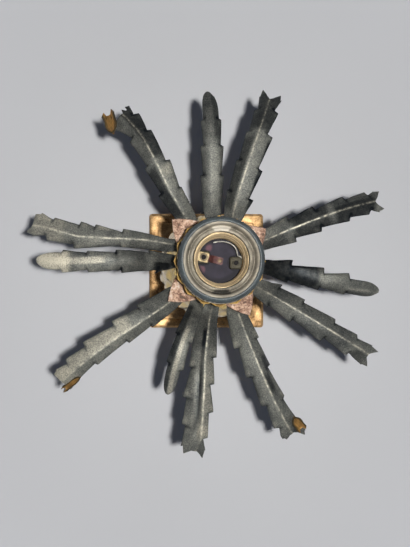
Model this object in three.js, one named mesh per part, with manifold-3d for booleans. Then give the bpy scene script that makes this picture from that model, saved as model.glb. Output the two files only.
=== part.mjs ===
// Pineapple table lamp: a square base, a turned foot, a body covered in diamond scales, a crown of
// twelve long sheet-metal leaves, a calyx, a gallery and a screw lampholder with its shade ring.
// Millimetres, +Z up, origin at the centre of the felt's underside. +X is to the right and +Y is up in
// a view from straight above; the cord enters through the base's +Y wall.

import * as THREE from 'three';
import { mergeVertices } from 'three/addons/utils/BufferGeometryUtils.js';
import Module from 'manifold-3d';

const wasm = await Module();
wasm.setup();

// Clearances
const fit = 0.3;                    // gap between neighbouring fixed pieces
const springPlay = 0.5;             // gap over and under the centre contact, which tilts

// Square base
const feltThickness = 1.5;
const feltInset = 3;                // felt edge to base edge, on each side
const baseWidth = 88;
const baseHeight = 24;
const baseRimHeight = 10;           // upright edge, bevel included
const baseBevel = 1.6;
const baseRimWidth = 5.5;           // flat rim between the bevel and the step
const baseStep = 1.6;               // step from the rim up to the cove
const baseTopWidth = 44;            // flat on which the foot stands
const baseCornerRadius = 2.5;
const baseWall = 3;

// Cord inlet
const inletBore = 4.8;
const inletWall = 0.9;
const inletFlange = 1.1;            // how far the flange stands out round the shank
const inletFlangeThickness = 1.2;

// Turned foot
const footHeight = 18;
const footBottomRadius = 18;
const footNeckRadius = 10.5;
const footTopRadius = 18.5;
const footBead = 2.2;               // radius of the bead at the bottom

// Pineapple body
const bodyHeight = 132;
const bodyBottomRadius = 15;
const bodyLowRadius = 29.5;         // at a sixth of the height
const bodyMaxRadius = 34.2;         // at 45 hundredths of the height
const bodyHighRadius = 28.5;        // at 82 hundredths of the height
const bodyTopRadius = 18;
const bodyWall = 2.6;
const scaleColumns = 14;            // scales in one row round the body
const scaleRows = 14;               // half-overlapping rows
const scaleRelief = 2.2;            // how far a scale's point stands out

// Threaded tube and its fasteners
const tubeRadius = 5;
const tubeBore = 3.5;
const tubeFoot = 9;                 // height of its lower end above the felt
const nutAcrossFlats = 15;
const baseNutThickness = 5;
const crownNutThickness = 5;
const washerRadius = 12;
const washerThickness = 1.8;
const spacerRadius = 7;
const spacerHeight = 10;

// Crown cup and the ring that clamps the leaf roots
const cupFloorRadius = 14;
const cupFloor = 2;
const cupRimRadius = 22;
const cupDepth = 10.7;
const cupWall = 1.2;
const clampHeight = 9.4;

// Long leaves
const leafCount = 12;
const leafThickness = 0.8;
const leafReach = 109;              // lamp axis to the tip of the longest leaf
const leafCrest = 38;               // height above the cup's floor from which the drops are counted
const leafRootStart = 1.6;          // root's lower end above the cup's floor, along the wall
const leafTabSpare = 2.2;           // straight part of a root that stands out of the cup
const leafRootHalfWidth = 2.3;
const leafTabHalfWidth = 3.5;
const leafShoulder = 12;            // length over which a leaf widens from its tab to its blade
const leafRise = 22;                // how long a leaf keeps its root's slope, as a curve handle
const toothDrop = 1.4;              // length over which the edge steps back behind a tooth
const stationPitch = 10;            // longest stretch of leaf without a cross-section

// Forked leaves: their half widths are measured over the fold, without the teeth
const forkedHalfWidth = 6.3;
const forkedNeckHalfWidth = 5.2;    // at the fork, between its outer spike and the last tooth
const forkedTooth = 2;
const forkedPitches = [3.5, 10.5, 15, 19, 17.5];
const forkedFold = THREE.MathUtils.degToRad(27);
const forkedNotch = 7;
const forkedHorn = 0.5;             // width left at the end of a horn
const forkedHandle = 34;

// Round leaves
const roundHalfWidth = 5.3;
const roundNeckHalfWidth = 4.9;     // where the nose starts
const roundTooth = 1.8;
const roundPitches = [18, 15.5, 18, 17.5];
const roundCurl = 7.5;              // radius of the half-round section
const roundNose = 14;
const roundNoseEnd = 0.5;           // half width left at the end of the nose
const roundHandle = 32;

// The pitches are the distances between teeth, from the tip back to the root
const forked = {
  halfWidth: forkedHalfWidth,
  neck: forkedNeckHalfWidth,
  tooth: forkedTooth,
  pitches: forkedPitches,
  tipLength: forkedNotch,
  handle: forkedHandle,
};
const rounded = {
  halfWidth: roundHalfWidth,
  neck: roundNeckHalfWidth,
  tooth: roundTooth,
  pitches: roundPitches,
  tipLength: roundNose,
  handle: roundHandle,
  curl: roundCurl,
};

// Each leaf as measured. Angles in degrees: of the tip, of the root against its even place, of the
// drooping tip's slope and of the turn about the ridge, left side down. Shares: its rise of leafRise, the
// tip's reach of leafReach and its drop of leafCrest, how far the blade sways sideways near its root and
// near its tip, of its half width, and how long its tooth pitches and its half width are.
const leafShapes = [
  {
    kind: rounded, angle: -9.7, lean: -3, rise: 1, droop: 30, reach: 0.853, drop: 0.47,
    sway: [-0.57, -0.3], roll: -20, pitch: 1.1, width: 1,
  },
  {
    kind: forked, angle: 21, lean: -3, rise: 1, droop: 34, reach: 0.96, drop: 0.6,
    sway: [-0.24, 0.8], roll: 0, pitch: 0.96, width: 1,
  },
  {
    kind: forked, angle: 72, lean: 7, rise: 1.15, droop: 38, reach: 0.982, drop: 0.66,
    sway: [0.95, 0], roll: 12, pitch: 1.1, width: 1,
  },
  {
    kind: rounded, angle: 93, lean: 2.5, rise: 0.8, droop: 36, reach: 0.902, drop: 0.58,
    sway: [0.57, -0.57], roll: 0, pitch: 1.03, width: 1,
  },
  {
    kind: forked, angle: 123.3, lean: 2, rise: 1, droop: 38, reach: 0.96, drop: 0.63,
    sway: [0.7, -1.1], roll: 8, pitch: 0.9, width: 1,
  },
  {
    kind: forked, angle: 167.8, lean: 5, rise: 0.7, droop: 26, reach: 1.008, drop: 0.44,
    sway: [-0.4, 0.5], roll: 0, pitch: 1.03, width: 0.95,
  },
  {
    kind: rounded, angle: 179, lean: -2, rise: 1.6, droop: 26, reach: 0.912, drop: 0.24,
    sway: [-0.8, 1.1], roll: 4, pitch: 0.9, width: 1,
  },
  {
    kind: forked, angle: 217.5, lean: 5, rise: 1, droop: 24, reach: 1.025, drop: 0.4,
    sway: [0.95, -0.8], roll: 12, pitch: 0.98, width: 1,
  },
  {
    kind: rounded, angle: 249.7, lean: 2, rise: 1.5, droop: 30, reach: 0.708, drop: 0.31,
    sway: [0.3, -0.8], roll: 0, pitch: 0.92, width: 0.78,
  },
  {
    kind: forked, angle: 263, lean: -3, rise: 0.75, droop: 24, reach: 1.024, drop: 0.44,
    sway: [-0.6, 0.2], roll: 6, pitch: 0.96, width: 1.05,
  },
  {
    kind: forked, angle: 294.4, lean: -5, rise: 1, droop: 26, reach: 1, drop: 0.44,
    sway: [-0.24, -0.8], roll: 11, pitch: 0.97, width: 1,
  },
  {
    kind: forked, angle: 328.7, lean: 0, rise: 1, droop: 28, reach: 0.967, drop: 0.46,
    sway: [0, 0], roll: 3, pitch: 1.15, width: 1,
  },
];

// Calyx: its lobes' angles in degrees and reaches as a share of the longest, as measured
const calyxLobes = [
  { angle: 35, reach: 0.86 },
  { angle: 137, reach: 0.98 },
  { angle: 218, reach: 1 },
  { angle: 301, reach: 0.95 },
];
const calyxTipRadius = 34.5;
const calyxNotchRadius = 17.5;
const calyxFloorRadius = 15;
const calyxThickness = 0.9;
const calyxRise = 12;
const calyxPoint = 1.4;             // how sharply a lobe narrows

// Lampholder
const holderRadius = 19.8;          // outside of cap and skirt, over the thread
const capNeckRadius = 8;
const capNeckHeight = 5;
const capHeight = 22;
const capSpigot = 5;                // part of the cap that goes up inside the skirt
const capWall = 1.4;
const capLedge = 3.2;               // width of the ledge that carries the insulator
const skirtWall = 1;
const skirtHeight = 28.7;
const shadeRoom = 2.1;              // left under the shade ring for the edge of a shade
const shoulderThickness = 1.7;
const shoulderWidth = 2.6;
const dishDepth = 3.2;
const mouthRadius = 13.9;
const shellWall = 0.8;
const shellLip = 2.2;               // how far the shell's lower lip stands in from its outside
const shellFlange = 3.4;
const insulatorWall = 3;
const insulatorFloor = 5;
const wireHoleRadius = 1.6;         // one wire goes up through each, to its terminal block
const insulatorDepth = 8;           // depth of its cavity

// Gallery round the lampholder
const galleryPetals = 16;
const galleryFloorRadius = 10;
const galleryGap = 3.4;             // from the lampholder to the middle of the gallery's sheet, at its rim
const galleryPetalLean = 1.8;       // how far a petal's tip leans out from the rim
const galleryHeight = 25;
const galleryPetalHeight = 4.2;
const galleryThickness = 0.9;

// Contacts and terminals inside the insulator
const terminalSize = 6.6;
const terminalHeight = 5.2;
const terminalInset = 5.2;          // mouth's edge to a terminal's middle
const terminalAngles = [THREE.MathUtils.degToRad(166), THREE.MathUtils.degToRad(-6)];
const terminalScrewRadius = 1.3;
const terminalHeadRadius = 2.1;
const terminalHeadHeight = 1.1;
const contactThickness = 0.7;
const contactWidth = 4;
const contactLift = 2.4;            // rise of the centre contact over its root
const sideContactInset = 2.6;       // mouth's edge to the middle of the strip
const sideContactHeight = 4.4;
const sideContactEnd = THREE.MathUtils.degToRad(108);
const sideContactThickness = 0.7;

// Shade ring
const ringWall = 2.05;              // over the ribs
const ringHeight = 9.5;
const ringLipWidth = 0.95;          // how far the lip reaches in over the skirt's edge
const ringLip = 1.6;
const ringRibs = 30;
const ringRibRadius = 0.75;
const ringRibHeight = 5.6;
const ringRound = 1.5;

// Facets round the axis
const roundFacets = 28;
const smallFacets = 16;

// Heights, each piece seated on the one below it
const zBase = feltThickness + fit;
const zBaseTop = zBase + baseHeight;
const zFoot = zBaseTop + fit;
const zBody = zFoot + footHeight + fit;
const zCup = zBody + bodyHeight + fit;
const zCupFloor = zCup + cupFloor;
const zClamp = zCupFloor + fit;
const zCrownNut = zClamp + clampHeight + fit;
const zSpacer = zCrownNut + crownNutThickness + fit;
const zCalyx = zSpacer + spacerHeight + fit;
const zGallery = zCalyx + calyxThickness + fit;
const zCap = zGallery + galleryThickness + fit;
const zSkirt = zCap + capHeight + fit;
const zSkirtTop = zSkirt + skirtHeight;
const zRing = zSkirtTop + fit + ringLip - ringHeight;
const zShoulder = zRing - shadeRoom - shoulderThickness;
const zInsulator = zSkirt - insulatorFloor;
const zCavity = zInsulator + insulatorFloor;
const zShell = zCavity + insulatorDepth + fit;
const zMouth = zSkirtTop - dishDepth - fit;
const zBaseWasher = zBaseTop - baseWall - fit - washerThickness;
const tubeHole = tubeRadius + fit;
const terminalReach = mouthRadius - terminalInset;
const sideContactRadius = mouthRadius - sideContactInset;
const galleryRimRadius = holderRadius + galleryGap;
const cupSlope = Math.atan2(cupDepth, cupRimRadius - cupFloorRadius);
const leafTabLength = cupDepth / Math.sin(cupSlope) - leafRootStart + leafTabSpare;

// Materials
function metal(color, roughness, metalness = 0.9) {
  return new THREE.MeshStandardMaterial({ color, roughness, metalness });
}
const agedBrass = metal(0x9a7442, 0.45);
const brightBrass = metal(0xd8bd78, 0.2);
const gunmetal = metal(0x6b6b63, 0.5);
const pinkCopper = metal(0xb48e78, 0.55);
const gilt = metal(0xcaa356, 0.35);
const tarnishedNickel = metal(0x968f7d, 0.35);
const bakelite = metal(0x23272a, 0.35, 0);
const brownBakelite = metal(0x3b2f38, 0.5, 0);
const feltGreen = metal(0x2d3a30, 0.95, 0);

// One clean closed mesh: shared corners merged, flat slivers dropped, faces outward
function cleaned(geometry) {
  const bare = geometry.index ? geometry.toNonIndexed() : geometry.clone();
  bare.deleteAttribute('normal');
  bare.deleteAttribute('uv');
  const merged = mergeVertices(bare, 1e-4);
  const at = merged.getAttribute('position');
  const kept = [];
  let volume = 0;
  const [a, b, c] = [new THREE.Vector3(), new THREE.Vector3(), new THREE.Vector3()];
  for (let i = 0; i < merged.index.count; i += 3) {
    const corners = [0, 1, 2].map((k) => merged.index.getX(i + k));
    if (new Set(corners).size < 3) continue;
    kept.push(...corners);
    a.fromBufferAttribute(at, corners[0]);
    b.fromBufferAttribute(at, corners[1]);
    c.fromBufferAttribute(at, corners[2]);
    volume += a.dot(b.cross(c));
  }
  merged.setIndex(volume < 0 ? kept.reverse() : kept);
  return merged;
}

function solid(geometry) {
  const mesh = cleaned(geometry);
  return new wasm.Manifold(new wasm.Mesh({
    numProp: 3,
    vertProperties: new Float32Array(mesh.getAttribute('position').array),
    triVerts: new Uint32Array(mesh.index.array),
  }));
}

function surface(manifold) {
  const mesh = manifold.getMesh();
  const geometry = new THREE.BufferGeometry();
  geometry.setAttribute('position', new THREE.BufferAttribute(mesh.vertProperties, 3));
  geometry.setIndex(new THREE.BufferAttribute(mesh.triVerts, 1));
  return geometry;
}

function cut(geometry, ...tools) {
  return surface(tools.reduce((rest, tool) => rest.subtract(solid(tool)), solid(geometry)));
}

function join(geometry, ...others) {
  return surface(others.reduce((sum, other) => sum.add(solid(other)), solid(geometry)));
}

// A profile of [radius, height] points turned round +Z; it closes on itself or ends on the axis
function turned(profile, facets = roundFacets) {
  const closes = profile[0][0] > 0;
  const points = (closes ? [...profile, profile[0]] : profile).map(([r, z]) => new THREE.Vector2(r, z));
  return new THREE.LatheGeometry(points, facets).rotateX(Math.PI / 2);
}

function upright(radius, zLow, zHigh, facets = smallFacets) {
  return new THREE.CylinderGeometry(radius, radius, zHigh - zLow, facets)
    .rotateX(Math.PI / 2)
    .translate(0, 0, (zLow + zHigh) / 2);
}

function ringOf(inner, outer, zLow, zHigh, facets = roundFacets) {
  return turned([[inner, zLow], [outer, zLow], [outer, zHigh], [inner, zHigh]], facets);
}

function geometryFrom(points, triangles) {
  const geometry = new THREE.BufferGeometry();
  geometry.setAttribute('position', new THREE.Float32BufferAttribute(points.flatMap((p) => p.toArray()), 3));
  geometry.setIndex(triangles.flat());
  return geometry;
}

// A closed solid through rings of equally many points, with flat ends
function lofted(rings) {
  const count = rings[0].length;
  const points = rings.flat();
  const triangles = [];
  for (let row = 0; row + 1 < rings.length; row += 1) {
    for (let i = 0; i < count; i += 1) {
      const [a, b] = [row * count + i, row * count + ((i + 1) % count)];
      triangles.push([a, b, b + count], [a, b + count, a + count]);
    }
  }
  for (const [row, flip] of [[0, true], [rings.length - 1, false]]) {
    for (let i = 1; i + 1 < count; i += 1) {
      const face = [row * count, row * count + i, row * count + i + 1];
      triangles.push(flip ? face.reverse() : face);
    }
  }
  return geometryFrom(points, triangles);
}

// A sheet of metal: a surface given as points and triangles, made thickness thick about itself
function sheet(points, triangles, thickness) {
  const normals = points.map(() => new THREE.Vector3());
  const rims = new Map();
  for (const [a, b, c] of triangles) {
    const face = new THREE.Vector3().subVectors(points[b], points[a])
      .cross(new THREE.Vector3().subVectors(points[c], points[a]));
    for (const i of [a, b, c]) normals[i].add(face);
    for (const [i, j] of [[a, b], [b, c], [c, a]]) {
      if (!rims.delete(`${j},${i}`)) rims.set(`${i},${j}`, [i, j]);
    }
  }
  const count = points.length;
  const half = normals.map((normal) => normal.setLength(thickness / 2));
  const both = [
    ...points.map((point, i) => point.clone().add(half[i])),
    ...points.map((point, i) => point.clone().sub(half[i])),
  ];
  const faces = [];
  for (const [a, b, c] of triangles) faces.push([a, b, c], [c + count, b + count, a + count]);
  for (const [i, j] of rims.values()) faces.push([j, i, i + count], [j, i + count, j + count]);
  return geometryFrom(both, faces);
}

// Rows of points joined to a surface; with wrap set, each row closes on itself
function grid(rows, wrap = false) {
  const count = rows[0].length;
  const triangles = [];
  for (let row = 0; row + 1 < rows.length; row += 1) {
    for (let i = 0; i < (wrap ? count : count - 1); i += 1) {
      const [a, b] = [row * count + i, row * count + ((i + 1) % count)];
      triangles.push([a, b, b + count], [a, b + count, a + count]);
    }
  }
  return [rows.flat(), triangles];
}

function polar(radius, angle, z) {
  return new THREE.Vector3(radius * Math.cos(angle), radius * Math.sin(angle), z);
}

// A square with rounded corners, half as wide as the given half width on each side
function roundedSquare(halfWidth, z, radius, steps = 3) {
  const points = [];
  const corner = Math.min(radius, halfWidth * 0.9);
  for (let quarter = 0; quarter < 4; quarter += 1) {
    const middle = polar((halfWidth - corner) * Math.SQRT2, (quarter + 0.5) * Math.PI / 2, z);
    for (let step = 0; step <= steps; step += 1) {
      const angle = (quarter + step / steps) * Math.PI / 2;
      points.push(middle.clone().add(polar(corner, angle, 0)));
    }
  }
  return points;
}

// The base, cast hollow: upright edge, bevel, flat rim, step and a hollow cove up to the top flat
function coveProfile() {
  const edge = baseWidth / 2;
  const rimTop = zBase + baseRimHeight;
  const coveStart = edge - baseBevel - baseRimWidth;
  const coveLow = rimTop + baseStep;
  const top = baseTopWidth / 2;
  const cove = new THREE.QuadraticBezierCurve(
    new THREE.Vector2(coveStart - baseStep, coveLow),
    new THREE.Vector2(top + (coveStart - top) * 0.3, coveLow + (zBaseTop - coveLow) * 0.18),
    new THREE.Vector2(top, zBaseTop),
  );
  return [
    [edge, zBase],
    [edge, rimTop - baseBevel],
    [edge - baseBevel, rimTop],
    [coveStart, rimTop],
    [coveStart - baseStep * 0.2, coveLow],
    ...cove.getPoints(6).map((point) => [point.x, point.y]),
  ];
}

function inletTunnel(radius, facets = smallFacets) {
  const length = baseWall * 4;
  return new THREE.CylinderGeometry(radius, radius, length, facets)
    .translate(0, baseWidth / 2, zBase + baseRimHeight * 0.48);
}

function basePlinth() {
  const outside = coveProfile();
  const inside = outside.map(([half, z]) => [half - baseWall, z - baseWall]);
  const asRings = (profile) => profile.map(([half, z]) => roundedSquare(half, z, baseCornerRadius));
  return cut(
    lofted(asRings(outside)),
    lofted(asRings(inside)),
    upright(tubeHole, zBaseTop - baseWall * 2, zBaseTop + baseWall),
    inletTunnel(inletBore / 2 + inletWall + fit),
  );
}

// The bush in the base's rear wall, a flanged tube along +Y
function cordBush() {
  const bore = inletBore / 2;
  const shank = bore + inletWall;
  const wallFace = baseWidth / 2;
  const inner = wallFace - baseWall - fit;
  const outer = wallFace + fit + inletFlangeThickness;
  return turned([
    [bore, inner],
    [shank, inner],
    [shank, wallFace + fit],
    [shank + inletFlange, wallFace + fit],
    [shank + inletFlange * 0.6, outer],
    [bore + 0.3, outer],
    [bore, outer - 0.3],
  ], smallFacets).rotateX(-Math.PI / 2).translate(0, 0, zBase + baseRimHeight * 0.48);
}

function feltPad() {
  const half = baseWidth / 2 - feltInset;
  return lofted([0, feltThickness].map((z) => roundedSquare(half, z, baseCornerRadius)));
}

// The foot: a bead, a narrow neck and a flaring cup under the body
function turnedFoot() {
  const top = zFoot + footHeight;
  const bead = [-55, 0, 55].map((degrees) => {
    const angle = THREE.MathUtils.degToRad(degrees);
    return [
      footBottomRadius - footBead + footBead * Math.cos(angle),
      zFoot + footBead + footBead * Math.sin(angle),
    ];
  });
  const waist = new THREE.CubicBezierCurve(
    new THREE.Vector2(footBottomRadius - footBead, zFoot + footBead * 2.2),
    new THREE.Vector2(footNeckRadius - 2, zFoot + footHeight * 0.35),
    new THREE.Vector2(footNeckRadius - 1, zFoot + footHeight * 0.62),
    new THREE.Vector2(footTopRadius, top - 1.6),
  );
  return turned([
    [tubeHole, zFoot],
    [footBottomRadius - footBead, zFoot],
    ...bead,
    ...waist.getPoints(6).map((point) => [point.x, point.y]),
    [footTopRadius, top - 0.4],
    [footTopRadius - 0.4, top],
    [tubeHole, top],
  ]);
}

// The body's outline: its radius in the grooves between the scales, along its height from 0 to 1
const bodyOutline = new THREE.SplineCurve([
  new THREE.Vector2(0, bodyBottomRadius),
  new THREE.Vector2(0.16, bodyLowRadius),
  new THREE.Vector2(0.45, bodyMaxRadius),
  new THREE.Vector2(0.82, bodyHighRadius),
  new THREE.Vector2(1, bodyTopRadius),
]);

function bodyPoint(row) {
  const point = bodyOutline.getPointAt(row / scaleRows);
  return { radius: point.y, z: zBody + point.x * bodyHeight };
}

// Diamond scales: each is a low pyramid over four grooves, and every row is turned by half a scale
function scaledSkin() {
  const points = [];
  const triangles = [];
  const step = 2 * Math.PI / scaleColumns;
  for (let row = 0; row <= scaleRows; row += 1) {
    const { radius, z } = bodyPoint(row);
    for (let i = 0; i < scaleColumns; i += 1) points.push(polar(radius, (i + (row % 2) / 2) * step, z));
  }
  const groove = (row, i) => row * scaleColumns + ((i % scaleColumns) + scaleColumns) % scaleColumns;
  for (let row = 0; row <= scaleRows; row += 1) {
    const odd = row % 2;
    const { radius, z } = bodyPoint(row);
    for (let i = 0; i < scaleColumns; i += 1) {
      const [left, right] = [groove(row, i), groove(row, i + 1)];
      const [below, above] = [groove(row - 1, i + odd), groove(row + 1, i + odd)];
      if (row === 0) triangles.push([left, right, above]);
      else if (row === scaleRows) triangles.push([below, right, left]);
      else {
        const relief = scaleRelief * Math.min(1, radius / bodyMaxRadius + 0.1);
        const tip = points.push(polar(radius + relief, (i + 0.5 + odd / 2) * step, z)) - 1;
        triangles.push([below, right, tip], [right, above, tip], [above, left, tip], [left, below, tip]);
      }
    }
  }
  const [bottom, top] = [points.push(new THREE.Vector3(0, 0, zBody)) - 1,
    points.push(new THREE.Vector3(0, 0, zBody + bodyHeight)) - 1];
  for (let i = 0; i < scaleColumns; i += 1) {
    triangles.push([bottom, groove(0, i + 1), groove(0, i)]);
    triangles.push([top, groove(scaleRows, i), groove(scaleRows, i + 1)]);
  }
  return geometryFrom(points, triangles);
}

function pineappleBody() {
  const hollow = [];
  for (let row = 1; row < scaleRows; row += 1) {
    const { radius, z } = bodyPoint(row);
    hollow.push([radius * Math.cos(Math.PI / scaleColumns) - bodyWall, z]);
  }
  const [low, high] = [zBody + bodyWall, zBody + bodyHeight - bodyWall];
  const inside = hollow.filter(([, z]) => z > low && z < high);
  return cut(
    scaledSkin(),
    turned([[0, low], [inside[0][0] * 0.8, low], ...inside, [inside.at(-1)[0] * 0.85, high], [0, high]],
      scaleColumns),
    upright(tubeHole, zBody - bodyWall, zBody + bodyHeight + bodyWall),
  );
}

// Threaded tube, nuts, washer and spacer on the lamp's axis
function threadedTube() {
  const top = zCap + capNeckHeight + capWall;
  return ringOf(tubeBore, tubeRadius, zBase + tubeFoot, top, smallFacets);
}

function hexNut(zLow, thickness) {
  const corner = nutAcrossFlats / Math.sqrt(3);
  return cut(
    upright(corner, zLow, zLow + thickness, 6),
    upright(tubeHole, zLow - thickness, zLow + 2 * thickness),
  );
}

// Crown cup: a spun cone that takes the leaf roots
function cupRadiusAt(z) {
  return cupFloorRadius + (z - zCupFloor) / Math.tan(cupSlope);
}

function crownCup() {
  const skin = cupWall / Math.sin(cupSlope);
  const rim = zCupFloor + cupDepth;
  return turned([
    [tubeHole, zCup],
    [cupRadiusAt(zCup) + skin - 1, zCup],
    [cupRadiusAt(zCup) + skin, zCup + 0.6],
    [cupRadiusAt(rim) + skin, rim],
    [cupRadiusAt(rim), rim],
    [cupFloorRadius, zCupFloor],
    [tubeHole, zCupFloor],
  ]);
}

// A leaf root lies this far inside the cup's wall; its flat tab bridges the wall's curve
const tabSagitta = leafTabHalfWidth ** 2 / (2 * cupFloorRadius);
const leafInset = (fit + tabSagitta + leafThickness / 2) / Math.sin(cupSlope);

function leafClamp() {
  const inset = leafInset + (leafThickness / 2 + fit) / Math.sin(cupSlope);
  const top = zClamp + clampHeight;
  return turned([
    [tubeHole, zClamp],
    [cupRadiusAt(zClamp) - inset, zClamp],
    [cupRadiusAt(top) - inset, top],
    [tubeHole, top],
  ]);
}

// A leaf's middle line: straight in the cup, then a rise, an arch and a drooping tip
function leafPath(index) {
  const { kind, angle, lean, rise, droop, reach, drop, sway } = leafShapes[index];
  const { degToRad } = THREE.MathUtils;
  const rootAngle = index * 2 * Math.PI / leafCount + degToRad(lean);
  const tipAngle = degToRad(angle);
  const rootZ = zCupFloor + leafRootStart * Math.sin(cupSlope);
  const root = polar(cupRadiusAt(rootZ) - leafInset, rootAngle, rootZ);
  const along = polar(Math.cos(cupSlope), rootAngle, Math.sin(cupSlope));
  const tab = root.clone().addScaledVector(along, leafTabLength);
  const end = polar(reach * leafReach, tipAngle, zCupFloor + leafCrest * (1 - drop));
  const out = polar(Math.cos(degToRad(droop)), tipAngle, -Math.sin(degToRad(droop)));
  const sideways = polar(kind.halfWidth, tipAngle + Math.PI / 2, 0);
  const path = new THREE.CurvePath();
  path.add(new THREE.LineCurve3(root, tab));
  path.add(new THREE.CubicBezierCurve3(
    tab,
    tab.clone().addScaledVector(along, rise * leafRise).addScaledVector(sideways, sway[0]),
    end.clone().addScaledVector(out, -kind.handle).addScaledVector(sideways, sway[1]),
    end,
  ));
  return path;
}

// The teeth, from the tip back to the root: how far from the root each ends, and its length
function leafTeeth({ kind, pitch }, length) {
  const teeth = [];
  let at = length;
  kind.pitches.forEach((step, i) => {
    at -= step * pitch;
    teeth.push({ at, rise: (kind.pitches[i + 1] ?? step) * pitch - toothDrop });
  });
  return teeth.filter(({ at }) => at > leafTabLength + leafShoulder * 0.5);
}

// Half width of a leaf at a distance from its root, measured over its section
function leafHalfWidth(shape, length, s) {
  const { smoothstep, lerp } = THREE.MathUtils;
  const { kind, width } = shape;
  const root = lerp(leafRootHalfWidth, leafTabHalfWidth, Math.min(1, s / leafTabLength));
  const blade = width * lerp(kind.halfWidth, kind.neck, smoothstep(s, length * 0.5, length));
  let half = lerp(root, blade, smoothstep(s, leafTabLength, leafTabLength + leafShoulder));
  for (const { at, rise } of leafTeeth(shape, length)) {
    if (s <= at && s > at - rise) half += kind.tooth * (1 - (at - s) / rise);
    else if (s > at && s < at + toothDrop) half += kind.tooth * (1 - (s - at) / toothDrop);
  }
  const nose = (s - (length - kind.tipLength)) / kind.tipLength;
  if (kind === forked || nose <= 0) return half;
  return Math.max(roundNoseEnd, half * Math.sqrt(1 - Math.min(1, nose) ** 2));
}

// Distances from the root at which a leaf has a cross-section
function leafStations(shape, length) {
  const { kind } = shape;
  const marks = [0, leafTabLength - leafTabSpare / 2];
  for (const share of [0, 0.5, 1]) marks.push(leafTabLength + leafShoulder * share);
  for (const { at } of leafTeeth(shape, length)) marks.push(at, at + toothDrop);
  const notch = length - kind.tipLength;
  marks.push(notch, length);
  if (kind === rounded) marks.push(notch + kind.tipLength * 0.5, notch + kind.tipLength * 0.85);
  marks.sort((a, b) => a - b);
  const stations = [marks[0]];
  for (const mark of marks.slice(1)) {
    const from = stations.at(-1);
    if (mark - from < 0.6) continue;
    const parts = Math.ceil((mark - from) / stationPitch);
    for (let i = 1; i <= parts; i += 1) stations.push(from + (mark - from) * i / parts);
  }
  stations[stations.length - 1] = length;
  return stations;
}

// How far a point of the section lies sideways and down, for a distance u over the section
function sectionPoint(kind, u, open) {
  if (kind.curl) {
    const bend = u / kind.curl;
    const across = THREE.MathUtils.lerp(u, kind.curl * Math.sin(bend), open);
    return [across, kind.curl * (1 - Math.cos(bend)) * open];
  }
  const fold = forkedFold * open;
  return [u * Math.cos(fold), u * Math.sin(fold)];
}

function leaf(index) {
  const shape = leafShapes[index];
  const { kind } = shape;
  const roll = THREE.MathUtils.degToRad(shape.roll);
  const path = leafPath(index);
  const length = path.getLength();
  const columns = kind.curl ? 2 : 1;
  const points = [];
  const triangles = [];
  let previous = null;
  for (const s of leafStations(shape, length)) {
    const middle = path.getPointAt(s / length);
    const along = path.getTangentAt(Math.min(s / length, 0.999));
    const open = THREE.MathUtils.smoothstep(s, leafTabLength, leafTabLength + leafShoulder);
    const sideways = new THREE.Vector3(-along.y, along.x, 0).normalize();
    sideways.applyAxisAngle(along, -roll * open);
    const down = new THREE.Vector3().crossVectors(sideways, along).normalize();
    const split = kind.curl ? 0 : Math.max(0, (s - (length - kind.tipLength)) / kind.tipLength);
    const row = {};
    const outer = leafHalfWidth(shape, length, s);
    const inner = split * (outer - forkedHorn);
    for (const side of [1, -1]) {
      row[side] = [];
      for (let column = 0; column <= columns; column += 1) {
        if (column === 0 && side === -1 && !split) {
          row[side].push(row[1][0]);
          continue;
        }
        const u = THREE.MathUtils.lerp(split ? inner : 0, outer, column / columns);
        const [across, depth] = sectionPoint(kind, u, open);
        points.push(middle.clone().addScaledVector(sideways, across * side).addScaledVector(down, depth));
        row[side].push(points.length - 1);
      }
    }
    if (previous) {
      for (const side of [1, -1]) {
        for (let column = 0; column < columns; column += 1) {
          const [a, b] = [previous[side][column], previous[side][column + 1]];
          const [c, d] = [row[side][column], row[side][column + 1]];
          const faces = [[a, c, d], [a, d, b]];
          triangles.push(...(side > 0 ? faces : faces.map((face) => face.reverse())));
        }
      }
    }
    previous = row;
  }
  return sheet(points, triangles, leafThickness);
}

// Calyx: one stamped sheet with a flat middle and four pointed lobes that rise outwards
function calyx() {
  const halfLobe = 3;
  const spokes = calyxLobes.flatMap((lobe, k) => {
    const next = calyxLobes[(k + 1) % calyxLobes.length];
    const turn = (next.angle - lobe.angle + 360) % 360;
    return Array.from({ length: 2 * halfLobe }, (_, i) => {
      const reach = i < halfLobe ? lobe.reach : next.reach;
      const tipRadius = THREE.MathUtils.lerp(calyxNotchRadius, calyxTipRadius, reach);
      const nearness = Math.abs(1 - i / halfLobe) ** calyxPoint;
      return {
        angle: THREE.MathUtils.degToRad(lobe.angle + turn * i / (2 * halfLobe)),
        edge: THREE.MathUtils.lerp(calyxNotchRadius, tipRadius, nearness),
      };
    });
  });
  const rows = [tubeHole, calyxFloorRadius, 0.35, 0.7, 1];
  const surfaceRows = rows.map((row, k) => spokes.map(({ angle, edge }) => {
    const radius = k < 2 ? row : THREE.MathUtils.lerp(calyxFloorRadius, edge, row);
    const rise = Math.max(0, (radius - calyxFloorRadius) / (calyxTipRadius - calyxFloorRadius));
    return polar(radius, angle, zCalyx + calyxThickness / 2 + calyxRise * rise ** 1.15);
  }));
  return sheet(...grid(surfaceRows, true), calyxThickness);
}

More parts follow.
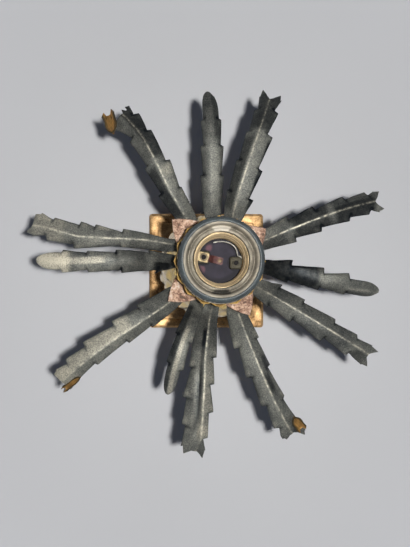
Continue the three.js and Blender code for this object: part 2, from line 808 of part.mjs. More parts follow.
// Gallery: a spun cup round the lampholder's foot, its edge cut into small pointed petals
function gallery() {
  const columns = galleryPetals * 2;
  const flare = galleryRimRadius - galleryFloorRadius;
  const wall = new THREE.CubicBezierCurve(
    new THREE.Vector2(galleryFloorRadius, 0),
    new THREE.Vector2(galleryFloorRadius + flare * 0.61, galleryHeight * 0.03),
    new THREE.Vector2(galleryRimRadius - flare * 0.09, galleryHeight * 0.38),
    new THREE.Vector2(galleryRimRadius, galleryHeight),
  );
  const floorZ = zGallery + galleryThickness / 2;
  const profile = [new THREE.Vector2(tubeHole, 0), ...wall.getPoints(3)];
  const rows = profile.map((point) => Array.from({ length: columns }, (_, i) => (
    polar(point.x, 2 * Math.PI * i / columns, floorZ + point.y))));
  rows.push(Array.from({ length: columns }, (_, i) => {
    const petal = i % 2 ? 1 : 0.2;
    const radius = galleryRimRadius + galleryPetalLean * petal;
    return polar(radius, 2 * Math.PI * i / columns, floorZ + galleryHeight + galleryPetalHeight * petal);
  }));
  return sheet(...grid(rows, true), galleryThickness);
}

// Lampholder cap: a neck on the threaded tube, a dome and a spigot inside the skirt
const spigotRadius = holderRadius - skirtWall - fit;

function holderCap() {
  const domeTop = zCap + capNeckHeight + (capHeight - capNeckHeight) * 0.6;
  const dome = new THREE.QuadraticBezierCurve(
    new THREE.Vector2(capNeckRadius, zCap + capNeckHeight),
    new THREE.Vector2(holderRadius - 1.5, zCap + capNeckHeight + 2.5),
    new THREE.Vector2(holderRadius, domeTop),
  );
  const ledge = zInsulator - fit;
  const inside = spigotRadius - capWall;
  return turned([
    [tubeHole, zCap],
    [capNeckRadius, zCap],
    ...dome.getPoints(4).map((point) => [point.x, point.y]),
    [holderRadius, zSkirt - fit],
    [spigotRadius, zSkirt - fit],
    [spigotRadius, zSkirt + capSpigot],
    [inside, zSkirt + capSpigot],
    [inside, ledge],
    [inside - capLedge, ledge],
    [tubeHole, zCap + capNeckHeight + capWall],
  ]);
}

// Lampholder skirt: a threaded tube with a shoulder for the shade and a dished rim round the mouth
function holderSkirt() {
  const inside = holderRadius - skirtWall;
  const shoulderRadius = holderRadius + shoulderWidth;
  const dishFoot = mouthRadius + fit;
  const dishTop = zSkirtTop - dishDepth;
  return turned([
    [inside, zSkirt],
    [holderRadius, zSkirt],
    [holderRadius, zShoulder],
    [shoulderRadius, zShoulder],
    [shoulderRadius, zShoulder + shoulderThickness],
    [holderRadius, zShoulder + shoulderThickness],
    [holderRadius, zSkirtTop - 0.4],
    [holderRadius - 0.5, zSkirtTop],
    [holderRadius - 1.3, zSkirtTop - 0.1],
    [(holderRadius + dishFoot) / 2, dishTop + dishDepth * 0.35],
    [dishFoot, dishTop],
    [dishFoot, dishTop - skirtWall],
    [(inside + dishFoot) / 2, dishTop + dishDepth * 0.35 - skirtWall * 1.2],
    [inside, zSkirtTop - dishDepth],
  ]);
}

// Screw shell: the thread's tube between a flange that stands on the insulator and the mouth
function screwShell() {
  const outside = mouthRadius;
  const bore = outside - shellWall;
  const lip = outside - shellLip;
  return turned([
    [lip, zShell],
    [outside + shellFlange, zShell],
    [outside + shellFlange, zShell + shellWall],
    [outside - 0.2, zShell + shellWall],
    [outside - 0.2, zMouth - 1.2],
    [outside, zMouth],
    [outside - shellWall * 0.6, zMouth],
    [bore - 0.4, zMouth - 1.6],
    [bore - 0.4, zShell + shellWall + 0.6],
    [lip, zShell + shellWall],
  ]);
}

function insulator() {
  const outside = spigotRadius - capWall - fit;
  const top = zCavity + insulatorDepth;
  const ends = [zInsulator - insulatorFloor, zCavity + insulatorFloor];
  const wireHole = upright(wireHoleRadius, ...ends, smallFacets);
  const cup = turned([
    [0, zInsulator],
    [outside, zInsulator],
    [outside, top],
    [outside - insulatorWall, top],
    [outside - insulatorWall, zCavity],
    [0, zCavity],
  ]);
  const places = terminalAngles.map((angle) => polar(terminalReach, angle, 0));
  return cut(cup, ...places.map(({ x, y }) => wireHole.clone().translate(x, y, 0)));
}

// Terminals: two brass blocks on the insulator's floor, one at each side, and their screws
function terminalMiddle(which) {
  return polar(terminalReach, terminalAngles[which], zCavity + fit);
}

const zTerminalTop = zCavity + fit + terminalHeight;
const zContact = zTerminalTop + springPlay;

function terminalBlock(which) {
  const middle = terminalMiddle(which);
  const block = new THREE.BoxGeometry(terminalSize, terminalSize, terminalHeight)
    .translate(0, 0, terminalHeight / 2);
  const hole = upright(terminalScrewRadius + fit, terminalHeight * 0.3, terminalHeight * 2, smallFacets);
  const slot = new THREE.BoxGeometry(terminalSize * 0.45, terminalSize * 2, terminalHeight * 0.3)
    .translate(0, 0, terminalHeight * 0.3);
  return cut(block, hole, slot).translate(middle.x, middle.y, middle.z);
}

function terminalScrew(which, headLow) {
  const middle = terminalMiddle(which);
  const tip = zCavity + fit + terminalHeight * 0.5;
  const top = headLow + terminalHeadHeight;
  const slot = new THREE.BoxGeometry(terminalHeadRadius * 3, 0.6, terminalHeadHeight).translate(0, 0, top);
  const screw = turned([
    [0, tip],
    [terminalScrewRadius, tip],
    [terminalScrewRadius, headLow],
    [terminalHeadRadius, headLow],
    [terminalHeadRadius, top],
    [0, top],
  ], smallFacets);
  return cut(screw, slot).translate(middle.x, middle.y, 0);
}

// Centre contact: a tongue from under the left terminal's screw, bent up to the lamp axis
function centreContact() {
  const root = terminalMiddle(0);
  const inward = new THREE.Vector3(-root.x, -root.y, 0).normalize();
  const sideways = new THREE.Vector3(-inward.y, inward.x, 0);
  const z = zContact + contactThickness / 2;
  const tail = terminalSize * 0.45;
  const stations = [
    [-tail, 0],
    [tail, 0],
    [terminalReach * 0.62, contactLift * 0.75],
    [terminalReach * 0.85, contactLift],
    [terminalReach + contactWidth * 0.4, contactLift],
  ];
  const rows = stations.map(([along, lift]) => [-1, 1].map((side) => (
    new THREE.Vector3(root.x, root.y, z + lift)
      .addScaledVector(inward, along)
      .addScaledVector(sideways, side * contactWidth / 2))));
  const tongue = sheet(...grid(rows), contactThickness);
  const hole = upright(terminalScrewRadius + springPlay, z - terminalHeight, z + terminalHeight);
  return cut(tongue, hole.translate(root.x, root.y, 0));
}

// Side contact: a strip on edge that starts over the right terminal and follows the insulator's wall
function sideContact() {
  const steps = 8;
  const low = zTerminalTop + fit;
  const top = low + sideContactHeight * 0.5;
  const start = terminalAngles[1] + Math.asin(terminalSize * 0.3 / sideContactRadius);
  const rows = [];
  for (let step = 0; step <= steps; step += 1) {
    const angle = THREE.MathUtils.lerp(start, sideContactEnd, step / steps);
    const overBlock = sideContactRadius * (angle - terminalAngles[1]) < terminalSize * 0.9;
    rows.push([polar(sideContactRadius, angle, overBlock ? low : top - sideContactHeight),
      polar(sideContactRadius, angle, top)]);
  }
  return sheet(...grid(rows), sideContactThickness);
}

// Shade ring: screws on the skirt over the shade; ribbed outside, with a lip over the skirt's edge
function shadeRing() {
  const bore = holderRadius + fit;
  const body = bore + ringWall - ringRibRadius * 0.7;
  const lip = bore - ringLipWidth;
  const top = zRing + ringHeight;
  const ring = turned([
    [bore, zRing],
    [body, zRing],
    [body, top - ringRound],
    [body - ringRound * 0.3, top - ringRound * 0.3],
    [body - ringRound, top],
    [lip, top],
    [lip, top - ringLip],
    [bore, top - ringLip],
  ]);
  const ribs = Array.from({ length: ringRibs }, (_, i) => {
    const angle = 2 * Math.PI * i / ringRibs;
    const rib = upright(ringRibRadius, zRing + 0.5, zRing + 0.5 + ringRibHeight, 6);
    return rib.translate((body - 0.1) * Math.cos(angle), (body - 0.1) * Math.sin(angle), 0);
  });
  return join(ring, ...ribs);
}

// The lamp
const lamp = new THREE.Group();

function place(name, geometry, material) {
  const mesh = new THREE.Mesh(cleaned(geometry), material);
  mesh.name = name;
  lamp.add(mesh);
}

place('felt_pad', feltPad(), feltGreen);
place('base_plinth', basePlinth(), agedBrass);
place('cord_bush', cordBush(), bakelite);
place('turned_foot', turnedFoot(), brightBrass);
place('pineapple_body', pineappleBody(), brightBrass);
place('threaded_tube', threadedTube(), agedBrass);
place('base_washer', ringOf(tubeHole, washerRadius, zBaseWasher, zBaseWasher + washerThickness), agedBrass);
place('base_nut', hexNut(zBaseWasher - fit - baseNutThickness, baseNutThickness), agedBrass);
place('crown_cup', crownCup(), agedBrass);
place('leaf_clamp', leafClamp(), agedBrass);
place('crown_nut', hexNut(zCrownNut, crownNutThickness), agedBrass);
place('spacer_tube', ringOf(tubeHole, spacerRadius, zSpacer, zSpacer + spacerHeight, smallFacets), agedBrass);

const leafNumbers = new Map([[forked, 0], [rounded, 0]]);
leafShapes.forEach(({ kind }, index) => {
  leafNumbers.set(kind, leafNumbers.get(kind) + 1);
  const word = kind === forked ? 'forked' : 'round';
  place(`leaf_${word}_${leafNumbers.get(kind)}`, leaf(index), gunmetal);
});

place('calyx', calyx(), pinkCopper);
place('gallery', gallery(), gilt);
place('holder_cap', holderCap(), tarnishedNickel);
place('holder_skirt', holderSkirt(), tarnishedNickel);
place('insulator', insulator(), brownBakelite);
place('screw_shell', screwShell(), gilt);
place('terminal_left', terminalBlock(0), brightBrass);
place('terminal_right', terminalBlock(1), brightBrass);
const zLeftHead = zContact + contactThickness + springPlay;
place('terminal_screw_left', terminalScrew(0, zLeftHead), brightBrass);
place('terminal_screw_right', terminalScrew(1, zTerminalTop + fit), brightBrass);
place('centre_contact', centreContact(), brightBrass);
place('side_contact', sideContact(), tarnishedNickel);
place('shade_ring', shadeRing(), bakelite);

export default lamp;
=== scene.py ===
"""A pineapple table lamp, dressed for rendering round its engineering frame.

The script is laid out as an add-on: the panel's buttons build the same pieces that main() builds. Lengths
are in metres. +Z is up, +X is to the right and +Y is up in a view from straight above.
"""

import bisect
import math

import bmesh
import bpy
from mathutils import Matrix, Vector, noise


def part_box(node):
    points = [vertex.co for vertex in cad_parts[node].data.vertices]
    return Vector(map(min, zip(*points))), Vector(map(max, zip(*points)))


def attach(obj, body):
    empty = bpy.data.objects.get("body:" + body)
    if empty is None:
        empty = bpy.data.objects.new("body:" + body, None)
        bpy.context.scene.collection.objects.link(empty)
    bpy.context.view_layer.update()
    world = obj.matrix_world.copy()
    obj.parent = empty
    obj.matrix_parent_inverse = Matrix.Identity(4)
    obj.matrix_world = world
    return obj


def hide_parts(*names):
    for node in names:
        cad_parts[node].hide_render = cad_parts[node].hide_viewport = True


bl_info = {
    "name": "Pineapple lamp",
    "version": (1, 0, 0),
    "blender": (4, 5, 0),
    "location": "3D View > Sidebar > Lamp",
    "description": "Dresses a pineapple table lamp round its engineering frame",
    "category": "Add Mesh",
}

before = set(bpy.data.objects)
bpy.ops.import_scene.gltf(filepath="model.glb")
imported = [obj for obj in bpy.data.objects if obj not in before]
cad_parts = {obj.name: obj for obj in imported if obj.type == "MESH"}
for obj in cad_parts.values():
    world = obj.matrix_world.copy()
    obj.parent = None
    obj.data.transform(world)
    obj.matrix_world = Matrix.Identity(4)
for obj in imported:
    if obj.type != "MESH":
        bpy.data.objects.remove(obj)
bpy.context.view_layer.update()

MM = 0.001
TAU = 2 * math.pi
PHOTO_LONG_SIDE = 547               # pixels
CAD_FACETS = 28                     # of the frame's turned pieces
DOUBLES = 2e-6                      # vertices closer than this are merged
SHARP_DEGREES = 32                  # edges bent by more than this stay sharp
CORNER_DEGREES = 40                 # corners bent by more than this are rounded
TUBE_HOLE = 5.3 * MM                # radius of the hole for the threaded tube
INLET_RADIUS = 3.6 * MM             # hole for the cord's bush
SKIRT_RADIUS = 19.8 * MM
SHADE_ROOM = 2.1 * MM               # free height over the skirt's shoulder for a shade's fitter ring


# Sizes and colours that a user would change


def length(name, text, default):
    """A length in metres, given in millimetres."""
    return bpy.props.FloatProperty(
        name=name, description=text, default=default * MM, unit="LENGTH", subtype="DISTANCE"
    )


def colour(name, text, default):
    """A colour, given as red, green and blue from 0 to 255, as a screen shows them."""
    linear = [((v / 255 + 0.055) / 1.055) ** 2.4 if v > 10 else v / 255 / 12.92 for v in default]
    return bpy.props.FloatVectorProperty(
        name=name, description=text, default=linear, size=3, min=0, max=1, subtype="COLOR"
    )


def share(name, text, default):
    return bpy.props.FloatProperty(
        name=name, description=text, default=default, min=0, max=1, subtype="FACTOR"
    )


def angle(name, text, degrees):
    return bpy.props.FloatProperty(
        name=name, description=text, default=math.radians(degrees), unit="ROTATION", subtype="ANGLE"
    )


class StageSettings(bpy.types.PropertyGroup):
    """Floor, lights and camera."""

    floor_size: length("Floor size", "Side of the square floor", 9000)
    floor_colour: colour("Floor", "Colour of the plain floor", (193, 194, 197))
    backdrop_colour: colour("Backdrop", "Colour behind the floor's edge", (203, 205, 208))
    camera_height: length("Camera height", "Camera above the floor", 710)
    camera_side: length("Camera X", "Camera to the right of the lamp's axis", -21.7)
    camera_back: length("Camera Y", "Camera towards the rear wall", -15.6)
    aim_side: length("Aim X", "Point on the floor that the camera looks at", -0.8)
    aim_back: length("Aim Y", "Point on the floor that the camera looks at", -2.0)
    focal_pixels: bpy.props.FloatProperty(
        name="Focal length", description="In pixels of the photograph's long side", default=905
    )
    key_height: length("Key height", "Key light above the floor", 800)
    key_watts: bpy.props.FloatProperty(name="Key light", description="Power in watts", default=6.35)
    fill_watts: bpy.props.FloatProperty(name="Fill lights", description="Power in watts", default=0.85)


class LeafSettings(bpy.types.PropertyGroup):
    """The twelve long leaves."""

    sheet: length("Sheet", "Thickness of the leaf's metal", 0.75)
    ridge_fold: angle("Fold at the ridge", "Slope of a flank next to the ridge", 22)
    edge_fold: angle("Fold at the edge", "Slope of a flank at its edge", 34)
    round_radius: length("Round leaves' radius", "Radius of their section", 8.5)
    edge_lip: length("Edge lip", "How far the outermost strip is turned down", 0.55)
    hammering: length("Hammering", "Height of the hammer marks", 0.27)
    # Also the tone of the painted highlights
    worn_and_highlit_patina: colour("Worn patina", "Tone where the patina is rubbed off", (198, 192, 174))
    light_patina: colour("Light patina", "Lighter tone of the patina", (143, 142, 133))
    mid_patina: colour("Patina", "Main tone of the patina", (103, 104, 99))
    dark_patina: colour("Dark patina", "Darker tone of the patina", (68, 70, 70))
    # The tone of the painted shade
    deep_patina_and_shade: colour("Deep patina", "Tone of the darkest stretches", (21, 25, 29))
    under_colour: colour("Underside", "Unpatinated brass of the underside", (168, 128, 72))


class BodySettings(bpy.types.PropertyGroup):
    """The scaled body and the foot under it."""

    border: share("Scale border", "Share of a scale that its raised middle takes", 0.7)
    knob: share("Scale knob", "Share of the middle that the knob takes", 0.28)
    brass: colour("Brass", "Polished brass", (233, 204, 138))
    tarnish: colour("Tarnish", "Brown in the grooves", (112, 78, 36))


class BaseSettings(bpy.types.PropertyGroup):
    """The square base."""

    rim_height: length("Rim height", "Upright edge, bevel included", 10)
    bevel: length("Bevel", "Bevel of the upper edge", 1.6)
    rim_width: length("Rim width", "Flat rim inside the bevel", 5.5)
    step: length("Step", "Step from the rim to the cove", 1.6)
    top_width: length("Top width", "Flat on which the foot stands", 44)
    corner: length("Corner radius", "Radius of the upright corners", 2.5)
    wall: length("Wall", "Thickness of the casting", 3)
    gilt: colour("Gilt", "Bright gilt on the rims", (222, 182, 128))
    patina: colour("Brown patina", "Patina in the recesses", (104, 72, 38))


class HolderSettings(bpy.types.PropertyGroup):
    """The lampholder, its gallery, the calyx and the shade ring."""

    rib_count: bpy.props.IntProperty(name="Ribs", description="Ribs round the shade ring", default=60, min=3)
    rib_radius: length("Rib radius", "Radius of a rib", 0.6)
    lamp_pitch: length("Lamp thread", "Pitch of the lamp's thread", 3.62)
    ring_pitch: length("Ring thread", "Pitch of the shade ring's thread", 2.5)
    petal_count: bpy.props.IntProperty(name="Petals", description="Petals of the gallery", default=16, min=3)
    nickel: colour("Nickel", "Tarnished nickel of the skirt", (134, 127, 113))
    shell: colour("Shell", "Brass of the screw shell", (190, 168, 130))
    bakelite: colour("Black bakelite", "Shade ring", (46, 53, 55))
    # Darkened, partly its own colour and partly painted shade of the well
    floor_bakelite: colour("Brown bakelite", "Insulator", (36, 33, 42))
    copper: colour("Copper", "Pink copper of the calyx", (202, 170, 147))
    gilt: colour("Gilt", "Gilt of the gallery", (216, 176, 98))


SETTINGS = {
    "lamp_stage": StageSettings,
    "lamp_leaves": LeafSettings,
    "lamp_body": BodySettings,
    "lamp_base": BaseSettings,
    "lamp_holder": HolderSettings,
}


# Node trees


class Wiring:
    """Short calls for building a node tree."""

    def __init__(self, tree):
        self.tree = tree

    def add(self, kind, inputs=None, **options):
        node = self.tree.nodes.new(kind)
        for key, value in options.items():
            setattr(node, key, value)
        for key, value in (inputs or {}).items():
            self.feed(node.inputs[key], value)
        return node

    def feed(self, socket, value):
        if isinstance(value, bpy.types.NodeSocket):
            self.tree.links.new(value, socket)
        elif isinstance(value, bpy.types.Node):
            self.tree.links.new(value.outputs[0], socket)
        else:
            socket.default_value = value

    def math(self, operation, first, second=0.0):
        return self.add("ShaderNodeMath", {0: first, 1: second}, operation=operation)

    def times(self, first, second):
        return self.math("MULTIPLY", first, second)

    def weighted(self, *parts):
        """The sum of (value, weight) parts."""
        total = self.times(*parts[0])
        for value, weight in parts[1:]:
            total = self.math("ADD", total, self.times(value, weight))
        return total

    def noise(self, place, scale, detail=4.0, roughness=0.55, distortion=0.0):
        inputs = {"Vector": place, "Scale": scale, "Detail": detail, "Roughness": roughness}
        inputs["Distortion"] = distortion
        return self.add("ShaderNodeTexNoise", inputs)

    def ramp(self, factor, stops):
        """A colour ramp through (position, colour) stops."""
        node = self.add("ShaderNodeValToRGB", {"Fac": factor})
        elements = node.color_ramp.elements
        while len(elements) < len(stops):
            elements.new(0.5)
        for element, (position, value) in zip(elements, stops):
            element.position = position
            element.color = (*value, 1) if hasattr(value, "__len__") else (value, value, value, 1)
        return node

    def mix(self, factor, first, second):
        """A colour mix; the result is the node's third output."""
        node = self.add("ShaderNodeMix", data_type="RGBA")
        self.feed(node.inputs[0], factor)
        for socket, value in ((node.inputs[6], first), (node.inputs[7], second)):
            self.feed(socket, value if isinstance(value, (bpy.types.Node, bpy.types.NodeSocket)) else (*value, 1))
        return node.outputs[2]

    def seen_or_mirrored(self):
        """1 for what the camera sees, mirrored or through glass too, and 0 for what lights the object."""
        path = self.add("ShaderNodeLightPath").outputs
        direct = self.math("MAXIMUM", path["Is Camera Ray"], path["Is Glossy Ray"])
        return self.math("MAXIMUM", direct, path["Is Transmission Ray"])


class Finish(Wiring):
    """A material with a Principled shader, whose patterns lie on a piece's Object coordinates."""

    def __init__(self, name, metallic):
        self.material = bpy.data.materials.new(name)
        self.material.use_nodes = True
        self.material.node_tree.nodes.clear()
        super().__init__(self.material.node_tree)
        self.shader = self.add("ShaderNodeBsdfPrincipled", {"Metallic": metallic})
        self.feed(self.add("ShaderNodeOutputMaterial").inputs["Surface"], self.shader)
        self.place = self.add("ShaderNodeTexCoord").outputs["Object"]

    def attribute(self, name, output="Fac"):
        return self.add("ShaderNodeAttribute", attribute_name=name).outputs[output]

    def split(self, value):
        """The attribute's part over zero, and its part under zero made positive."""
        return self.math("MAXIMUM", value, 0.0), self.math("MAXIMUM", self.times(value, -1.0), 0.0)

    def distance(self, x=0, y=0):
        """Level distance from an upright line through a point given in mm."""
        parts = self.add("ShaderNodeSeparateXYZ", {0: self.place}).outputs
        squares = []
        for part, middle in ((parts[0], x), (parts[1], y)):
            away = self.math("ABSOLUTE", self.math("SUBTRACT", part, middle * MM))
            squares.append(self.math("POWER", away, 2))
        return self.math("SQRT", self.math("ADD", *squares))

    def done(self, base, rough, height=None, strength=0.0, distance=0.0):
        """Feeds the shader its colour, roughness and bump, and returns the material."""
        self.feed(self.shader.inputs["Base Color"], base)
        self.feed(self.shader.inputs["Roughness"], rough)
        if height:
            node = self.add("ShaderNodeBump", {"Strength": strength, "Distance": distance, "Height": height})
            self.feed(self.shader.inputs["Normal"], node)
        return self.material


def darker(value, factor):
    return tuple(channel * factor for channel in value)


def patina_material(settings):
    """Dark gunmetal patina: a fine grain over faint clouds, with painted shade and painted highlights where the
    leaf's shade attribute says so, and thinned along the ridge, which also paints the ridge's highlight.
    """
    new = Finish("leaf_patina", 0.92)
    clouds = new.noise(new.place, 70, roughness=0.6, distortion=0.4)
    speckle = new.noise(new.place, 1300, detail=3, roughness=0.7)
    grain = new.noise(new.place, 420, detail=3, roughness=0.6)
    base = new.ramp(new.weighted((clouds, 0.45), (speckle, 0.55)), [
        (0.36, settings.dark_patina), (0.5, settings.mid_patina), (0.66, settings.light_patina),
    ])
    shade = new.attribute("shade")
    dark, highlit = new.split(new.times(shade, new.ramp(grain, [(0.3, 0.88), (0.7, 1.1)])))
    lighter = new.times(highlit, new.ramp(speckle, [(0.4, 0.4), (0.6, 1.0)]))
    shaded = new.mix(lighter, new.mix(dark, base, settings.deep_patina_and_shade), settings.worn_and_highlit_patina)
    patchy = new.times(new.attribute("ridge_wear_and_sheen"), new.ramp(grain, [(0.42, 0.1), (0.6, 0.9)]))
    smoother = new.times(new.math("MAXIMUM", shade, 0.0), 0.15)
    rough = new.math("SUBTRACT", new.ramp(clouds, [(0.32, 0.62), (0.68, 0.74)]), smoother)
    height = new.math("ADD", speckle, new.times(grain, 0.8))
    return new.done(new.mix(patchy, shaded, settings.worn_and_highlit_patina), rough, height, 0.4, 0.00018)


def underside_material(settings):
    """Bare brass with brown streaks along the leaf, darker towards its rims."""
    new = Finish("leaf_underside", 0.7)
    along = new.attribute("streak", "Vector")
    streaks = new.noise(along, 1.0, detail=3, roughness=0.6)
    blotches = new.noise(new.place, 260, detail=3)
    brass = settings.under_colour
    base = new.ramp(new.weighted((streaks, 0.7), (blotches, 0.3)), [
        (0.36, darker(brass, 0.22)), (0.5, darker(brass, 0.6)), (0.64, brass),
    ])
    rim = new.math("ABSOLUTE", new.add("ShaderNodeSeparateXYZ", {0: along}).outputs[0])
    darkening = new.ramp(new.math("DIVIDE", rim, 5.0), [(0.62, 0.0), (0.98, 0.9)])
    rough = new.ramp(blotches, [(0.3, 0.38), (0.7, 0.6)])
    return new.done(new.mix(darkening, base, (0.035, 0.033, 0.02)), rough, streaks, 0.5, 0.0003)


def with_grooves_and_painted_light(new, base, fine, light, dark_tone):
    """A base colour darkened where the groove attribute is positive, which is real tarnish and patina on the body
    and base and painted shade on the calyx, skirt and shell, and lightened with a painted highlight where it is
    negative.
    """
    uneven = new.times(new.attribute("groove"), new.ramp(fine, [(0.3, 1.0), (0.7, 0.82)]))
    # The part under zero is a painted highlight
    darkening, rubbed = new.split(uneven)
    return new.mix(rubbed, new.mix(darkening, base, dark_tone), tuple(min(0.95, 0.12 + part * 1.3) for part in light))


def mottled_metal(
    name, light, dark, scale, metallic=0.9, rough=(0.25, 0.45), contrast=0.12, relief=0.0001, dark_tone=None
):
    """A metal whose tone wanders between two colours, darker where its groove attribute says so."""
    new = Finish(name, metallic)
    clouds = new.noise(new.place, scale, detail=5, roughness=0.6, distortion=0.3)
    fine = new.noise(new.place, scale * 9, detail=3, roughness=0.65)
    tone = new.weighted((clouds, 0.7), (fine, 0.3))
    base = new.ramp(tone, [(0.5 - contrast, dark), (0.5 + contrast, light)])
    grooved = with_grooves_and_painted_light(new, base, fine, light, dark_tone or darker(dark, 0.55))
    return new.done(grooved, new.ramp(clouds, [(0.32, rough[1]), (0.68, rough[0])]), fine, 0.35, relief)


def spun_metal(name, light, dark, metallic, rough, dark_tone=0.4):
    """A spun metal: fine rings round the lamp's axis over a slow tarnish."""
    new = Finish(name, metallic)
    height = new.add("ShaderNodeSeparateXYZ", {0: new.place}).outputs[2]
    rings = new.noise(new.add("ShaderNodeCombineXYZ", {0: new.distance(), 1: height}), 2400, detail=2)
    tarnish = new.noise(new.place, 190, detail=5, roughness=0.62, distortion=0.5)
    spots = new.noise(new.place, 1300, detail=3)
    tone = new.weighted((tarnish, 0.6), (spots, 0.25), (rings, 0.15))
    grooved = with_grooves_and_painted_light(new, new.ramp(tone, [(0.38, dark), (0.57, light)]), spots, light, darker(dark, dark_tone))
    return new.done(grooved, new.ramp(tarnish, [(0.35, rough[1]), (0.65, rough[0])]), rings, 0.25, 0.00006)


def copper_material(copper):
    """Dull pink copper, mottled with pale bloom, rust and dark scale, with painted shade where its groove
    attribute says so.
    """
    new = Finish("pink_copper", 0.4)
    clouds = new.noise(new.place, 170, roughness=0.6, distortion=0.3)
    fine = new.noise(new.place, 800, detail=3, roughness=0.65)
    tone = new.weighted((clouds, 0.55), (fine, 0.45))
    pink = darker(copper, 0.62)
    base = new.ramp(tone, [
        (0.4, darker(copper, 0.2)), (0.46, (0.26, 0.14, 0.1)), (0.5, pink), (0.56, copper),
        (0.61, (0.66, 0.57, 0.49)),
    ])
    grooved = with_grooves_and_painted_light(new, base, fine, pink, darker(copper, 0.16))
    return new.done(grooved, new.ramp(clouds, [(0.35, 0.8), (0.65, 0.55)]), tone, 0.7, 0.0006)


def bakelite_material(name, tint, roughness, dust):
    """Moulded bakelite with a faint cloud in it and a little dust on it."""
    new = Finish(name, 0.0)
    new.shader.inputs["Specular IOR Level"].default_value = 0.35
    clouds = new.noise(new.place, 120)
    specks = new.ramp(new.noise(new.place, 1700, detail=2), [(0.62, 0.0), (0.7, dust)])
    base = new.ramp(clouds, [(0.35, darker(tint, 0.7)), (0.65, darker(tint, 1.3))])
    rough = new.ramp(clouds, [(0.3, roughness), (0.7, roughness + 0.14)])
    fine = new.noise(new.place, 700, detail=2)
    return new.done(new.mix(specks, base, (0.42, 0.42, 0.4)), rough, fine, 0.15, 0.00008)


def insulator_material(tint):
    """Dull purple-brown bakelite with mauve scuffs, both darkened in part as painted shade of the well, and very
    dark with painted shade round the terminals and along its wall.
    """
    new = Finish("brown_bakelite", 0.0)
    new.shader.inputs["Specular IOR Level"].default_value = 0.3
    clouds = new.noise(new.place, 150)
    base = new.ramp(clouds, [(0.35, darker(tint, 0.7)), (0.65, darker(tint, 1.2))])
    # Mauve scuffs, darkened in part as painted shade of the well
    for x, y, reach in ((-5.6, 7.6, 5.6), (-9.8, -4.4, 6.0), (10.6, 6.6, 5.4)):
        edge = new.math("ADD", new.distance(x, y), new.times(clouds, 4 * MM))
        scuff = new.ramp(new.math("DIVIDE", edge, reach * MM), [(0.6, 1.0), (0.8, 0.0)])
        base = new.mix(scuff, base, (0.085, 0.04, 0.05))
    # Painted shade round the terminal blocks
    for x, y in ((-8.44, 2.1), (8.65, -0.91)):
        ring = new.ramp(new.math("DIVIDE", new.distance(x, y), 4.6 * MM), [(0.9, 1.0), (1.0, 0.0)])
        base = new.mix(ring, base, (0.006, 0.005, 0.008))
    # Painted shade along the wall of the well
    wall = new.ramp(new.math("DIVIDE", new.distance(-0.8, 0.6), 16 * MM), [(0.56, 0.0), (0.66, 0.95)])
    return new.done(new.mix(wall, base, (0.008, 0.007, 0.01)), 0.8, new.noise(new.place, 700, detail=2), 0.2, 0.0001)


def felt_material():
    """Dark green felt."""
    new = Finish("felt", 0.0)
    fibres = new.noise(new.place, 2200, roughness=0.8)
    base = new.ramp(fibres, [(0.35, (0.012, 0.022, 0.015)), (0.65, (0.05, 0.075, 0.055))])
    return new.done(base, new.ramp(fibres, [(0.3, 0.85), (0.7, 1.0)]), fibres, 0.8, 0.0004)


def floor_material(settings):
    """A plain pale matt floor."""
    new = Finish("floor", 0.0)
    new.shader.inputs["Specular IOR Level"].default_value = 0.1
    faint = new.noise(new.place, 3.5, detail=3)
    base = new.ramp(faint, [(0.35, darker(settings.floor_colour, 0.975)), (0.65, settings.floor_colour)])
    # The key light fades with the distance, so the far floor is shown as pale as the near floor
    away = new.math("DIVIDE", new.distance(), settings.key_height)
    faded = new.math("POWER", new.math("ADD", new.times(away, away), 1.0), -2)
    missing = new.times(new.math("SUBTRACT", 1.0, faded), new.ramp(away, [(0.2, 0.0), (0.4, 0.78)]))
    new.shader.inputs["Emission Color"].default_value = (*settings.floor_colour, 1)
    new.feed(new.shader.inputs["Emission Strength"], new.times(missing, new.seen_or_mirrored()))
    return new.done(base, 0.95)


# Meshes


def linked(name, vertices, faces):
    """A mesh object in the scene, its vertices and faces as given."""
    mesh = bpy.data.meshes.new(name)
    mesh.from_pydata([tuple(v) for v in vertices], [], faces)
    piece = bpy.data.objects.new(name, mesh)
    bpy.context.scene.collection.objects.link(piece)
    return piece


def new_piece(name, vertices, faces, smooth=True, groove=None):
    """A mesh object whose doubles are merged and whose faces point outwards."""
    piece = linked(name, vertices, faces)
    if groove:
        set_attribute(piece, "groove", groove)
    tidy(piece)
    for polygon in piece.data.polygons:
        polygon.use_smooth = smooth
    return piece


def tidy(piece):
    """Merges doubles and turns the faces of a closed mesh outwards."""
    work = bmesh.new()
    work.from_mesh(piece.data)
    bmesh.ops.remove_doubles(work, verts=work.verts, dist=DOUBLES)
    bmesh.ops.recalc_face_normals(work, faces=work.faces)
    if all(len(edge.link_faces) == 2 for edge in work.edges) and work.calc_volume(signed=True) < 0:
        bmesh.ops.reverse_faces(work, faces=work.faces)
    work.to_mesh(piece.data)
    work.free()
    piece.data.update()


def bake(piece):
    """Turns a piece's modifiers into plain mesh."""
    bpy.context.view_layer.update()
    graph = bpy.context.evaluated_depsgraph_get()
    evaluated = piece.evaluated_get(graph)
    mesh = bpy.data.meshes.new_from_object(evaluated, preserve_all_data_layers=True, depsgraph=graph)
    piece.modifiers.clear()
    old = piece.data
    piece.data = mesh
    bpy.data.meshes.remove(old)
    piece.data.name = piece.name


def sharpen(piece, degrees):
    """Shades a piece smooth with its edges sharper than an angle kept."""
    work = bmesh.new()
    work.from_mesh(piece.data)
    for edge in work.edges:
        edge.smooth = len(edge.link_faces) == 2 and edge.calc_face_angle(0) < math.radians(degrees)
    for face in work.faces:
        face.smooth = True
    work.to_mesh(piece.data)
    work.free()


